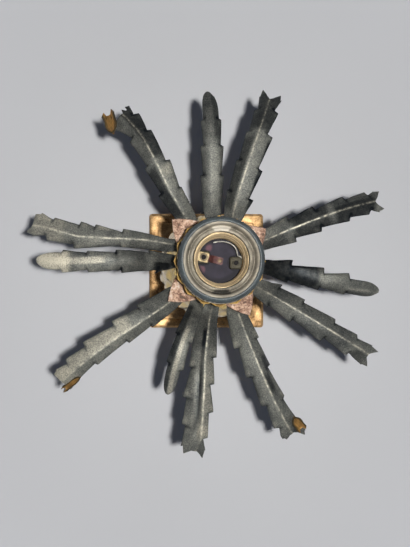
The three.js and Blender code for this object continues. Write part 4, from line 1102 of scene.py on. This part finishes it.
def build_base(settings):
    """A hollow square casting: an upright rim, a step, a cove up to the foot, and the cord's inlet."""
    low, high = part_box("base_plinth")
    edge = high.x
    rim_top = low.z + settings.rim_height
    cove_start = edge - settings.bevel - settings.rim_width
    step_end, step_top = cove_start - settings.step, rim_top + settings.step
    top = settings.top_width / 2
    outline = outline_of(
        (edge, low.z), (edge, rim_top - settings.bevel), (edge - settings.bevel, rim_top),
        (cove_start + 0.9 * MM, rim_top), (cove_start + 0.9 * MM, rim_top - 0.5 * MM),
        (cove_start, rim_top - 0.5 * MM), (cove_start - settings.step * 0.2, step_top),
    )
    start = Vector((step_end, step_top))
    bend = Vector((lerp(top, cove_start, 0.3), lerp(start.y, high.z, 0.18)))
    end = Vector((top, high.z - 0.6 * MM))
    outline += [quadratic(start, bend, end, i / 8) for i in range(9)]
    outline += outline_of(
        (top, high.z), (TUBE_HOLE, high.z), (TUBE_HOLE, high.z - settings.wall),
        (top - settings.wall, high.z - settings.wall), (step_end - settings.wall, step_top - settings.wall),
        (edge - settings.wall, rim_top - settings.wall), (edge - settings.wall, low.z),
    )
    points = rounded_outline(outline, 0.35 * MM, steps=3)
    vertices = []
    for point in points:
        corner = lerp(settings.corner, point.x, smoothstep(point.x, top * 0.98, TUBE_HOLE))
        vertices += square_ring(point.x, point.y, min(corner, point.x))
    faces = grid_faces(len(points), len(vertices) // len(points), wrap=True, closed=True)
    piece = new_piece("fine_base_plinth", vertices, faces)
    cut_with(piece, inlet_cutter(edge))
    tidy(piece)
    groove = []
    for vertex in piece.data.vertices:
        x, y, z = vertex.co
        reach = max(abs(x), abs(y))
        recess = smoothstep(reach, edge - settings.bevel - settings.rim_width * 0.9, cove_start - 3 * MM)
        groove.append(0.75 * recess * (1 - 0.55 * smoothstep(z, high.z - 4 * MM, high.z)))
    set_attribute(piece, "groove", groove)
    sharpen(piece, 28)
    material = mottled_metal(
        "gilt_base", settings.gilt, settings.patina, 95, metallic=0.65, rough=(0.5, 0.66), relief=0.00015
    )
    dress(piece, material, "stand", "base_plinth")
    dress_node("felt_pad", felt_material())


def inlet_cutter(edge):
    """A round bar through the rear wall, at the height of the cord's bush."""
    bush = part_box("cord_bush")
    middle = Vector((0, edge, (bush[0].z + bush[1].z) / 2))
    mesh = bpy.data.meshes.new("inlet")
    work = bmesh.new()
    bmesh.ops.create_cone(
        work, cap_ends=True, segments=40, radius1=INLET_RADIUS, radius2=INLET_RADIUS, depth=12 * MM,
        matrix=Matrix.Translation(middle) @ Matrix.Rotation(math.pi / 2, 4, "X"),
    )
    work.to_mesh(mesh)
    work.free()
    cutter = bpy.data.objects.new("inlet", mesh)
    bpy.context.scene.collection.objects.link(cutter)
    return cutter


def body_rows():
    """(height, groove radius, tip radius) of each row of scales, read from the frame."""
    levels = {}
    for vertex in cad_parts["pineapple_body"].data.vertices:
        radius = math.hypot(vertex.co.x, vertex.co.y)
        levels.setdefault(round(vertex.co.z, 5), set()).add(round(radius, 4))
    rows = []
    for z, radii in sorted(levels.items()):
        ordered = sorted(radii)
        if len(ordered) > 1 and ordered[-1] > 14 * MM:
            tip = ordered[-1]
            groove = max(r for r in ordered if r < tip - 1.0 * MM) if z not in (min(levels), max(levels)) else tip
            if groove > 12 * MM:
                rows.append((z, groove, tip))
    return rows


def build_body(settings):
    """Diamond scales between the grooves' crossings, and the turned foot."""
    columns = 14
    step = TAU / columns
    rows = body_rows()
    vertices = []
    for row, (z, groove, _) in enumerate(rows):
        vertices += [polar(groove, (i + (row % 2) / 2) * step, z) for i in range(columns)]

    def at(row, i):
        return row * columns + i % columns

    faces, marks = [], []
    last = len(rows) - 1
    for row in range(last + 1):
        odd = row % 2
        for i in range(columns):
            left, right = at(row, i), at(row, i + 1)
            if row == 0:
                faces.append((left, right, at(1, i + odd)))
            elif row == last:
                faces.append((at(row - 1, i + odd), right, left))
            else:
                faces.append((at(row - 1, i + odd), right, at(row + 1, i + odd), left))
            marks.append(0 < row < last)
    faces.append(tuple(at(0, i) for i in reversed(range(columns))))
    faces.append(tuple(at(last, i) for i in range(columns)))
    marks += [False, False]
    piece = linked("fine_pineapple_body", vertices, faces)
    attribute = piece.data.attributes.new("scale", "BOOLEAN", "FACE")
    attribute.data.foreach_set("value", marks)
    material = mottled_metal(
        "polished_brass", settings.brass, darker(settings.brass, 0.72), 60, metallic=1.0, rough=(0.14, 0.26),
        contrast=0.16, relief=0.00004, dark_tone=darker(settings.tarnish, 0.45),
    )
    relief = max(tip - groove for _, groove, tip in rows)
    apply_group(piece, scale_tree(), {
        "Relief": relief, "Border": settings.border, "Knob": settings.knob, "Material": material,
    })
    tidy(piece)
    for polygon in piece.data.polygons:
        polygon.use_smooth = True
    groove = []
    heights = [z for z, _, _ in rows]
    for vertex in piece.data.vertices:
        z = vertex.co.z
        row = min(max(1, sum(1 for h in heights if h < z)), last)
        t = (z - heights[row - 1]) / (heights[row] - heights[row - 1])
        surface = lerp(rows[row - 1][1], rows[row][1], t)
        over = math.hypot(vertex.co.x, vertex.co.y) - surface * math.cos(step / 4)
        groove.append(0.85 * (1 - smoothstep(over, -0.6 * MM, 0.9 * MM)))
    set_attribute(piece, "groove", groove)
    dress(piece, material, "stand", "pineapple_body")
    turned_copy("turned_foot", material, radius=0.3)


def build_crown():
    """The fittings on the lamp's axis that hold the crown."""
    plain = mottled_metal("plain_brass", (0.36, 0.24, 0.1), (0.16, 0.1, 0.045), 140, rough=(0.3, 0.5))
    turned_copy("crown_cup", plain)
    turned_copy("leaf_clamp", plain)
    turned_copy("spacer_tube", plain, radius=0.2, facets=16)
    for name in ("threaded_tube", "base_washer", "base_nut", "crown_nut"):
        dress_node(name, plain)


def build_leaves(settings):
    materials = [patina_material(settings), underside_material(settings)]
    for index in range(len(LEAVES)):
        build_leaf(index, settings, materials)


# Calyx lobes as in the part's source: degrees, and reach as a share of the longest
CALYX_LOBES = [(35, 0.86), (137, 0.98), (218, 1.0), (301, 0.95)]
CALYX_TIP = 34.5 * MM
CALYX_NOTCH = 17.5 * MM
CALYX_FLOOR = 15 * MM
CALYX_RISE = 12 * MM
THIN_SHEET = 0.8 * MM               # of the calyx and the gallery, whose middle lies a little over their foot
SHEET_MIDDLE = 0.45 * MM


def build_calyx(settings):
    """A stamped sheet with four pointed lobes, each creased along its middle and hammered."""
    low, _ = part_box("calyx")
    floor_z = low.z + SHEET_MIDDLE
    half_lobe = 18
    spokes = []
    for k, (turn, reach) in enumerate(CALYX_LOBES):
        next_turn, next_reach = CALYX_LOBES[(k + 1) % len(CALYX_LOBES)]
        spread = (next_turn - turn) % 360
        for i in range(2 * half_lobe):
            tip = lerp(CALYX_NOTCH, CALYX_TIP, reach if i < half_lobe else next_reach)
            nearness = abs(1 - i / half_lobe)
            ragged = 0.25 * MM * noise.noise(Vector((k * 7 + i * 0.6, 3.0, 0.0)))
            edge = lerp(CALYX_NOTCH, tip, nearness ** 1.4) + ragged
            spokes.append((math.radians(turn + spread * i / (2 * half_lobe)), edge, nearness))
    shares = [0.0, 0.08, 0.18, 0.3, 0.42, 0.54, 0.66, 0.78, 0.88, 0.95, 1.0]
    rows = [TUBE_HOLE, lerp(TUBE_HOLE, CALYX_FLOOR, 0.5)]
    vertices = [polar(radius, turn, floor_z) for radius in rows for turn, _, _ in spokes]
    for portion in shares:
        for turn, edge, nearness in spokes:
            radius = lerp(CALYX_FLOOR, edge, portion)
            rise = max(0, (radius - CALYX_FLOOR) / (CALYX_TIP - CALYX_FLOOR))
            point = polar(radius, turn, floor_z + CALYX_RISE * rise ** 1.15)
            crease = 0.9 * MM * nearness ** 6 * smoothstep(portion, 0.1, 0.6)
            dent = noise.noise(point * 160) * 0.35 * MM + noise.noise(point * 420) * 0.12 * MM
            point.z += (dent - crease) * smoothstep(portion, 0.05, 0.4)
            vertices.append(point)
    faces = grid_faces(len(shares) + len(rows), len(spokes), wrap=True)
    piece = linked("fine_calyx", vertices, faces)
    turn_up(piece)
    thickened(piece, THIN_SHEET)
    sharpen(piece, 50)
    reaches = [math.hypot(vertex.co.x, vertex.co.y) for vertex in piece.data.vertices]
    # Painted shade: darker inwards, where the calyx lies under the gallery's edge
    set_attribute(piece, "groove", [0.8 * (1 - smoothstep(reach, 22.5 * MM, 26 * MM)) for reach in reaches])
    dress(piece, copper_material(settings.copper), "stand", "calyx")


def build_gallery(settings):
    """A spun cup whose edge is cut into small pointed petals that lean outwards."""
    floor_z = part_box("gallery")[0].z + SHEET_MIDDLE
    floor_radius, rim_radius = 10 * MM, SKIRT_RADIUS + 2.2 * MM
    height, petal_height, lean = 25 * MM, 4.2 * MM, 1.2 * MM
    flare = rim_radius - floor_radius
    bends = outline_of(
        (floor_radius, 0), (floor_radius + flare * 0.61, height * 0.03), (rim_radius - flare * 0.09, height * 0.38),
        (rim_radius, height),
    )
    profile = outline_of((TUBE_HOLE, 0), (7.5 * MM, 0)) + [cubic(*bends, i / 24) for i in range(25)]
    per_petal = 12
    columns = settings.petal_count * per_petal
    vertices = []
    for point in profile:
        bead = 0.35 * MM * math.exp(-((point.y - height * 0.82) / (0.9 * MM)) ** 2)
        vertices += [polar(point.x + bead, TAU * i / columns, floor_z + point.y) for i in range(columns)]
    steps = 6
    for step in range(1, steps + 1):
        for i in range(columns):
            phase = (i / per_petal + 0.5) % 1
            petal = (1 - abs(phase * 2 - 1)) ** 0.75
            reach = lerp(0.12, 1.0, petal) * step / steps
            radius = rim_radius + lean * reach + 0.6 * MM * petal * (step / steps) ** 2
            vertices.append(polar(radius, TAU * i / columns, floor_z + height + petal_height * reach))
    piece = linked("fine_gallery", vertices, grid_faces(len(profile) + steps, columns, wrap=True))
    thickened(piece, THIN_SHEET)
    tidy(piece)
    sharpen(piece, 45)
    material = mottled_metal(
        "gilt_gallery", settings.gilt, (0.24, 0.14, 0.05), 220, metallic=0.6, rough=(0.4, 0.55), contrast=0.1
    )
    dress(piece, material, "stand", "gallery")


def thread_crest(z, low, high, pitch, turn):
    """Height of a rolled thread's wave at an angle, from 0 to 1, fading out at both ends of the thread."""
    inside = smoothstep(z, low, low + pitch * 0.6) * (1 - smoothstep(z, high - pitch * 0.6, high))
    return inside * (0.5 - 0.5 * math.cos(TAU * (z / pitch - turn / TAU)))


def threaded_turned(name, outline, which, low, high, pitch, depth, segments=144):
    """A turned piece on which the marked points of the outline carry a rolled thread, with painted shade in its
    troughs and a painted highlight on its crests.
    """
    vertices, groove = [], []
    for step in range(segments):
        turn = TAU * step / segments
        for point in outline:
            marked = which(point)
            crest = thread_crest(point.y, low, high, pitch, turn) if marked else 0.0
            vertices.append(polar(point.x - depth * crest, turn, point.y))
            # Painted shade in the troughs and a painted highlight on the crests
            groove.append(0.6 - 1.5 * crest if marked and low < point.y < high else 0.0)
    return new_piece(name, vertices, grid_faces(segments, len(outline), wrap=True, closed=True), groove=groove)


# The dish round the mouth, from the rim inwards and back under it: (radius, depth under the top) in mm
SKIRT_DISH = [
    (19.3, 0), (18.75, 0.05), (18.2, 0.35), (17.8, 1.0), (17.5, 1.8), (17.25, 2.4), (17.0, 2.55), (16.8, 2.25),
    (16.45, 2.15), (16.1, 2.45), (15.6, 2.8), (15.0, 2.9), (14.7, 2.75), (14.4, 2.8), (14.2, 3.1), (14.2, 4.2),
    (16.5, 3.28), (18.8, 3.2),
]


def dish_steps_and_painted_light(point, top):
    """Darker in the dish's steps, with a painted dark reflection at its front, a painted highlight at its rear
    and a painted highlight along its rim, strongest at the front left.
    """
    radius, depth = math.hypot(point.x, point.y) / MM, (top - point.z) / MM
    if depth > 3.15 or radius > 19.2:
        return 0.0
    dark_tone = 0.7 * math.exp(-((radius - 17.05) / 0.28) ** 2) + 0.6 * math.exp(-((radius - 14.3) / 0.2) ** 2)
    dark_tone += 0.3 * smoothstep(radius, 15.2, 16.1) * (1 - smoothstep(radius, 16.2, 16.6))
    # Painted highlight along the rim, strongest at the front left
    left = 0.5 - 0.5 * (point.x + 0.6 * point.y) / (radius * MM * 1.17)
    dark_tone -= (0.15 + 0.5 * left) * math.exp(-((radius - 18.3) / 0.5) ** 2)
    # Painted dark reflection at the front and painted highlight at the rear
    across = point.x / MM
    front = 1 - smoothstep(abs(across), 5.2 - (17.4 + point.y / MM) * 1.3, 6.8 - (17.4 + point.y / MM) * 1.3)
    if point.y < 0:
        dark_tone += 1.6 * front * smoothstep(radius, 15.0, 15.3) * (1 - smoothstep(radius, 17.4, 17.8))
    rear = 1 - smoothstep(abs(across), 2.0 + (point.y / MM - 14.4), 4.0 + (point.y / MM - 14.4))
    if point.y > 0:
        dark_tone -= 1.5 * rear * smoothstep(radius, 14.5, 14.9) * (1 - smoothstep(radius, 17.2, 17.6))
    return max(-1.0, min(1.0, dark_tone))


def subdivided(outline, longest):
    """Cuts the long stretches of a closed outline into short ones."""
    result = []
    for i, point in enumerate(outline):
        after = outline[(i + 1) % len(outline)]
        parts = max(1, math.ceil((after - point).length / longest))
        result += [point.lerp(after, k / parts) for k in range(parts)]
    return result


def build_holder(settings):
    """The lampholder with its contacts, and the shade ring on it."""
    nickel = spun_metal(
        "tarnished_nickel", settings.nickel, darker(settings.nickel, 0.5), metallic=0.6, rough=(0.66, 0.8), dark_tone=0.06
    )
    turned_copy("holder_cap", nickel, radius=0.3)
    build_skirt(settings, nickel)
    build_shell(settings)
    dress_node("insulator", insulator_material(settings.floor_bakelite))
    build_contacts()
    build_ring(settings)


def build_skirt(settings, nickel):
    """The skirt with its shoulder, the shade ring's thread and the stepped dish round the mouth."""
    low, high = (corner.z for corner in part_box("holder_skirt"))
    inside, shoulder = 18.8 * MM, 22.4 * MM
    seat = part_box("shade_ring")[0].z - SHADE_ROOM
    outline = outline_of(
        (inside, low), (SKIRT_RADIUS, low), (SKIRT_RADIUS, seat - 1.7 * MM), (shoulder, seat - 1.7 * MM),
        (shoulder, seat), (SKIRT_RADIUS, seat), (SKIRT_RADIUS, high - 0.4 * MM),
        *((radius * MM, high - depth * MM) for radius, depth in SKIRT_DISH),
    )
    skirt = threaded_turned(
        "fine_holder_skirt", subdivided(rounded_outline(outline, 0.2 * MM, steps=2), 0.5 * MM),
        lambda p: p.x > SKIRT_RADIUS - 0.1 * MM and p.y > seat + 0.2 * MM,
        seat + 0.4 * MM, high - 0.8 * MM, settings.ring_pitch, 0.45 * MM,
    )
    skirt.data.attributes.remove(skirt.data.attributes["groove"])
    # The groove attribute carries the dish's darker steps, painted reflection and painted highlights
    set_attribute(skirt, "groove", [dish_steps_and_painted_light(v.co, high) for v in skirt.data.vertices])
    dress(skirt, nickel, "stand", "holder_skirt")


def build_shell(settings):
    """The screw shell: a flange and a threaded wall that opens a little towards the mouth."""
    low, high = (corner.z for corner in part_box("screw_shell"))
    lip, outside, flange = 11.7 * MM, 13.7 * MM, 17.3 * MM
    outline = subdivided(outline_of(
        (lip, low), (flange, low), (flange, low + 0.8 * MM), (outside, low + 0.8 * MM), (outside, high - 1.2 * MM),
        (outside + 0.2 * MM, high), (outside - 0.1 * MM, high), (outside - 0.2 * MM, high - 0.3 * MM),
        (lip + 0.6 * MM, low + 1.4 * MM), (lip, low + 0.8 * MM),
    ), 0.35 * MM)
    wall_low = low + 1.6 * MM
    for point in outline:
        if point.x < outside - 0.15 * MM and point.y > wall_low:
            taper = max(0, point.y - wall_low - 8 * MM) * 0.24
            point.x = min(outside - 0.2 * MM, lip + 0.55 * MM + taper)
    shell = threaded_turned(
        "fine_screw_shell", outline, lambda p: p.y > wall_low and p.x < outside - 0.15 * MM,
        wall_low, high + 1.2 * MM, settings.lamp_pitch * 0.9, 0.5 * MM,
    )
    brass = spun_metal(
        "shell_brass", settings.shell, darker(settings.shell, 0.55), metallic=0.5, rough=(0.5, 0.65)
    )
    dress(shell, brass, "stand", "screw_shell")


def box_piece(name, middle, half, low, high, bevel):
    """An upright block with bevelled edges."""
    corners = [(-1, -1), (1, -1), (1, 1), (-1, 1)]
    vertices = [(middle.x + a * half, middle.y + b * half, z) for z in (low, high) for a, b in corners]
    faces = [(3, 2, 1, 0), (4, 5, 6, 7)] + [(i, (i + 1) % 4, (i + 1) % 4 + 4, i + 4) for i in range(4)]
    piece = new_piece(name, vertices, faces)
    bevelled(piece, bevel, segments=3)
    return piece


def build_contacts():
    """Terminal blocks and screws, the centre tongue and the side strip."""
    # The terminals' brass is darkened, partly its own tarnish and partly painted shade of the well; the blocks and
    # the right screw more than the left lug
    dull = mottled_metal(
        "block_brass", (0.06, 0.053, 0.034), (0.03, 0.026, 0.016), 420, metallic=0.3, rough=(0.7, 0.8)
    )
    lug = mottled_metal("lug_brass", (0.13, 0.1, 0.054), (0.07, 0.052, 0.026), 420, metallic=0.3, rough=(0.6, 0.75))
    recess_shade = bakelite_material("screw_recess", (0.004, 0.003, 0.003), 0.8, 0.0)
    for side, screw_metal in (("left", lug), ("right", dull)):
        node = f"terminal_{side}"
        low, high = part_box(node)
        block = box_piece(f"fine_{node}", (low + high) / 2, (high.x - low.x) / 2, low.z, high.z, 1.1 * MM)
        dress(block, dull, "stand", node)
        build_screw(f"terminal_screw_{side}", screw_metal, recess_shade)
    build_tongue()
    build_strip()


def build_screw(node, metal, recess_shade):
    """A terminal screw whose head has a round recess, painted very dark as its shade."""
    low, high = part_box(node)
    middle = (low + high) / 2
    head_foot, recess_floor = high.z - 1.1 * MM, high.z - 0.9 * MM
    shank, head, recess = 1.25 * MM, 2.1 * MM, 1.1 * MM
    piece = turned(f"fine_{node}", outline_of(
        (0, low.z), (shank, low.z), (shank, head_foot), (head, head_foot), (head, high.z), (shank, high.z),
        (recess, recess_floor), (0, recess_floor),
    ), segments=40)
    piece.data.transform(Matrix.Translation((middle.x, middle.y, 0)))
    tidy(piece)
    bevelled(piece, 0.12 * MM)
    piece.data.materials.append(metal)
    piece.data.materials.append(recess_shade)
    for polygon in piece.data.polygons:
        away = polygon.center - middle
        sunk = high.z - polygon.center.z
        inside = away.xy.length < 1.3 * MM and 0.05 * MM < sunk < 1.0 * MM
        polygon.material_index = 1 if inside else 0
    dress(piece, [metal, recess_shade], "stand", node)


def build_tongue():
    """The centre contact: brass under its screw, dark red-brown and dimpled towards the lamp's axis."""
    low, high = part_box("centre_contact")
    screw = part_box("terminal_screw_left")
    root = (screw[0] + screw[1]) / 2
    root.z = low.z + 0.35 * MM
    inward = Vector((-root.x, -root.y, 0)).normalized()
    sideways = Vector((-inward.y, inward.x, 0))
    lift = high.z - low.z - 0.7 * MM
    knots = [(-2.9, 0), (2.9, 0), (5.4, 0.75 * lift), (7.4, lift), (10.3, lift)]
    rows, columns = 34, 11
    vertices, red = [], []
    for i in range(rows):
        t = lerp(knots[0][0], knots[-1][0], i / (rows - 1))
        for k in range(columns):
            v = k / (columns - 1) * 2 - 1
            half = 1.95 * MM if t > 2.5 else 2.5 * MM
            half *= 1 - 0.25 * smoothstep(t, 9.4, 10.3)
            dimple = math.exp(-(((t - 8.6) / 0.8) ** 2 + (v * 1.95 / 0.8) ** 2))
            height = Vector((0, 0, between(knots, t) + 0.35 * MM * dimple))
            vertices.append(root + inward * t * MM + sideways * v * half + height)
            red.append(smoothstep(t, 2.2, 3.0) * (1 - 0.7 * dimple))
    round_screw = []
    for face in grid_faces(rows, columns):
        middle = sum((vertices[i] for i in face), Vector()) / len(face)
        if math.hypot(middle.x - root.x, middle.y - root.y) > 1.55 * MM:
            round_screw.append(face)
    piece = linked("fine_centre_contact", vertices, round_screw)
    set_attribute(piece, "red", red)
    turn_up(piece)
    thickened(piece, 0.6 * MM)
    tidy(piece)
    sharpen(piece, 50)
    dress(piece, tongue_material(), "centre_tongue", "centre_contact")


def tongue_material():
    """Brass that turns a dark red-brown where its red attribute says so; all its colours are darkened, partly
    painted shade of the well.
    """
    new = Finish("tongue_brass", 0.35)
    clouds = new.noise(new.place, 420)
    brass = new.ramp(clouds, [(0.35, (0.15, 0.11, 0.05)), (0.65, (0.3, 0.225, 0.11))])
    rust = new.ramp(clouds, [(0.35, (0.02, 0.006, 0.006)), (0.65, (0.07, 0.02, 0.018))])
    base = new.mix(new.math("MAXIMUM", new.attribute("red"), 0.0), brass, rust)
    return new.done(base, new.ramp(clouds, [(0.3, 0.7), (0.7, 0.5)]), clouds, 0.3, 0.0001)


# The side strip from its root by the right terminal to its free end: (X, Y) in mm
STRIP_PATH = [
    (11.7, 1.5), (10.9, 2.3), (9.5, 2.8), (9.2, 4.2), (8.6, 6.2), (7.2, 8.0), (5.2, 9.3), (2.6, 10.1),
    (-0.4, 10.2), (-3.3, 9.7),
]


def build_strip():
    """The side contact: a springy strip on edge that bends away from its terminal."""
    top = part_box("side_contact")[1].z
    points = []
    for i in range(len(STRIP_PATH) - 1):
        before = Vector(STRIP_PATH[max(i - 1, 0)])
        a, b = Vector(STRIP_PATH[i]), Vector(STRIP_PATH[i + 1])
        after = Vector(STRIP_PATH[min(i + 2, len(STRIP_PATH) - 1)])
        for step in range(6):
            t = step / 6
            points.append(0.5 * (2 * a + (b - before) * t + (2 * before - 5 * a + 4 * b - after) * t ** 2
                                 + (3 * a - before - 3 * b + after) * t ** 3))
    points.append(Vector(STRIP_PATH[-1]))
    heights = [0.0, 0.35, 0.7, 1.0]
    vertices = []
    for i, point in enumerate(points):
        foot = top - (2.1 if i < 14 else 3.6) * MM
        vertices += [(point.x * MM, point.y * MM, lerp(foot, top - 0.1 * MM, h)) for h in heights]
    piece = linked("fine_side_contact", vertices, grid_faces(len(points), len(heights)))
    thickened(piece, 0.5 * MM)
    tidy(piece)
    sharpen(piece, 50)
    nickel = mottled_metal(
        "strip_nickel", (0.36, 0.35, 0.31), (0.16, 0.15, 0.13), 420, metallic=0.5, rough=(0.6, 0.75)
    )
    dress(piece, nickel, "side_strip", "side_contact")


def build_ring(settings):
    """The shade ring: a moulded ring with a rounded lip, and ribs set round it."""
    low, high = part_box("shade_ring")
    bore = 20.1 * MM
    body = high.x - settings.rib_radius
    lip = bore - 0.95 * MM
    outline = outline_of(
        (bore, low.z), (body, low.z), (body + 0.25 * MM, low.z + 0.5 * MM), (body + 0.25 * MM, high.z - 3.0 * MM),
        (body - 0.1 * MM, high.z - 1.7 * MM), (body - 0.55 * MM, high.z - 0.55 * MM), (body - 1.5 * MM, high.z),
        (lip + 0.3 * MM, high.z), (lip, high.z - 0.4 * MM), (lip, high.z - 1.6 * MM), (bore, high.z - 1.6 * MM),
    )
    piece = turned("fine_shade_ring", rounded_outline(outline, 0.3 * MM))
    material = bakelite_material("black_bakelite", settings.bakelite, 0.42, 0.2)
    apply_group(piece, rib_tree(), {
        "Count": settings.rib_count, "Ring radius": body, "Rib radius": settings.rib_radius,
        "Rib height": 6.4 * MM, "Middle height": low.z + 3.6 * MM, "Material": material,
    })
    sharpen(piece, 40)
    dress(piece, material, "ring", "shade_ring")


def build_bush(settings):
    dress_node("cord_bush", bakelite_material("bush_bakelite", settings.bakelite, 0.35, 0.1))


def build_stage(settings):
    """The floor, the room's light, the lamps and the camera."""
    half = settings.floor_size / 2
    corners = [(-half, -half, 0), (half, -half, 0), (half, half, 0), (-half, half, 0)]
    floor = new_piece("floor", corners, [(0, 1, 2, 3)], smooth=False)
    floor.data.materials.append(floor_material(settings))

    world = bpy.data.worlds.new("studio")
    bpy.context.scene.world = world
    world.use_nodes = True
    world.node_tree.nodes.clear()
    wiring = Wiring(world.node_tree)
    direction = wiring.add("ShaderNodeTexCoord").outputs["Generated"]
    parts = wiring.add("ShaderNodeSeparateXYZ", {0: direction})
    across = wiring.math("ADD", wiring.times(parts.outputs[1], -0.5), 0.5)
    room = wiring.ramp(across, [
        (0.2, (0.015, 0.021, 0.035)), (0.55, (0.033, 0.043, 0.066)), (0.9, (0.085, 0.094, 0.12)),
    ])
    backdrop = wiring.ramp(parts.outputs[2], [
        (0.0, settings.backdrop_colour), (0.28, settings.backdrop_colour), (0.6, (0.04, 0.05, 0.07)),
    ])
    shown = wiring.mix(wiring.seen_or_mirrored(), room, backdrop)
    background = wiring.add("ShaderNodeBackground", {"Color": shown, "Strength": 1.0})
    wiring.feed(wiring.add("ShaderNodeOutputWorld").inputs["Surface"], background)

    add_light("key", (0.007, -0.017, settings.key_height), (0, 0, 0.1), 0.014, settings.key_watts, (1.0, 0.985, 0.96))
    add_light("left_fill", (-1.3, -0.7, 0.75), (0, 0, 0.14), 0.8, settings.fill_watts, (0.92, 0.96, 1.0))
    add_light("right_fill", (1.3, -0.5, 0.6), (0, 0, 0.14), 0.6, settings.fill_watts * 0.6, (0.94, 0.97, 1.0))
    add_light("rear_fill", (0.3, 1.5, 0.7), (0, 0, 0.14), 0.8, settings.fill_watts * 0.5, (0.92, 0.96, 1.0))

    data = bpy.data.cameras.new("camera")
    data.lens = settings.focal_pixels / PHOTO_LONG_SIDE * data.sensor_width
    data.clip_start = 0.01
    data.clip_end = 50
    camera = bpy.data.objects.new("camera", data)
    bpy.context.scene.collection.objects.link(camera)
    camera.location = (settings.camera_side, settings.camera_back, settings.camera_height)
    aim = Vector((settings.aim_side, settings.aim_back, 0)) - camera.location
    right = Vector((1, 0, 0))
    up = right.cross(aim).normalized()
    right = aim.cross(up).normalized()
    camera.rotation_euler = Matrix((right, up, -aim.normalized())).transposed().to_euler()
    bpy.context.scene.camera = camera
    bpy.context.scene.view_settings.view_transform = "Standard"


def add_light(name, place, target, size, watts, tint):
    data = bpy.data.lights.new(name, "AREA")
    data.shape = "DISK"
    data.size = size
    data.energy = watts
    data.color = tint
    light = bpy.data.objects.new(name, data)
    bpy.context.scene.collection.objects.link(light)
    light.location = place
    light.rotation_euler = (Vector(target) - Vector(place)).to_track_quat("-Z", "Y").to_euler()


# Operators


class LAMP_OT_stage(bpy.types.Operator):
    """Adds the floor, the lights and the camera"""

    bl_idname = "lamp.stage"
    bl_label = "Stage"

    def execute(self, context):
        build_stage(context.scene.lamp_stage)
        return {"FINISHED"}


class LAMP_OT_base(bpy.types.Operator):
    """Builds the square base with its felt and the cord's bush"""

    bl_idname = "lamp.base"
    bl_label = "Base"

    def execute(self, context):
        build_base(context.scene.lamp_base)
        build_bush(context.scene.lamp_holder)
        return {"FINISHED"}


class LAMP_OT_body(bpy.types.Operator):
    """Builds the scaled body and the turned foot"""

    bl_idname = "lamp.body"
    bl_label = "Body"

    def execute(self, context):
        build_body(context.scene.lamp_body)
        return {"FINISHED"}


class LAMP_OT_crown(bpy.types.Operator):
    """Builds the crown's cup and clamp, and finishes the pieces on the lamp's axis"""

    bl_idname = "lamp.crown"
    bl_label = "Crown fittings"

    def execute(self, context):
        build_crown()
        return {"FINISHED"}


class LAMP_OT_leaves(bpy.types.Operator):
    """Builds the twelve long leaves"""

    bl_idname = "lamp.leaves"
    bl_label = "Leaves"

    def execute(self, context):
        build_leaves(context.scene.lamp_leaves)
        return {"FINISHED"}


class LAMP_OT_calyx(bpy.types.Operator):
    """Builds the calyx and the gallery"""

    bl_idname = "lamp.calyx"
    bl_label = "Calyx and gallery"

    def execute(self, context):
        build_calyx(context.scene.lamp_holder)
        build_gallery(context.scene.lamp_holder)
        return {"FINISHED"}


class LAMP_OT_holder(bpy.types.Operator):
    """Builds the lampholder with its contacts and the shade ring"""

    bl_idname = "lamp.holder"
    bl_label = "Lampholder"

    def execute(self, context):
        build_holder(context.scene.lamp_holder)
        return {"FINISHED"}


OPERATORS = [
    LAMP_OT_stage, LAMP_OT_base, LAMP_OT_body, LAMP_OT_crown, LAMP_OT_leaves, LAMP_OT_calyx, LAMP_OT_holder,
]


class LAMP_PT_panel(bpy.types.Panel):
    """Lists the lamp's pieces in the sidebar"""

    bl_idname = "LAMP_PT_panel"
    bl_label = "Pineapple lamp"
    bl_space_type = "VIEW_3D"
    bl_region_type = "UI"
    bl_category = "Lamp"

    def draw(self, context):
        for operator in OPERATORS:
            self.layout.operator(operator.bl_idname)
        for name, group in SETTINGS.items():
            box = self.layout.box()
            settings = getattr(context.scene, name)
            for key in group.__annotations__:
                box.prop(settings, key)


def register():
    for group in SETTINGS.values():
        bpy.utils.register_class(group)
    for operator in OPERATORS:
        bpy.utils.register_class(operator)
    bpy.utils.register_class(LAMP_PT_panel)
    for name, group in SETTINGS.items():
        setattr(bpy.types.Scene, name, bpy.props.PointerProperty(type=group))


def unregister():
    for name in SETTINGS:
        delattr(bpy.types.Scene, name)
    bpy.utils.unregister_class(LAMP_PT_panel)
    for operator in reversed(OPERATORS):
        bpy.utils.unregister_class(operator)
    for group in reversed(SETTINGS.values()):
        bpy.utils.unregister_class(group)


def main():
    register()
    for operator in OPERATORS:
        family, name = operator.bl_idname.split(".")
        getattr(getattr(bpy.ops, family), name)()


if __name__ == "__main__":
    main()
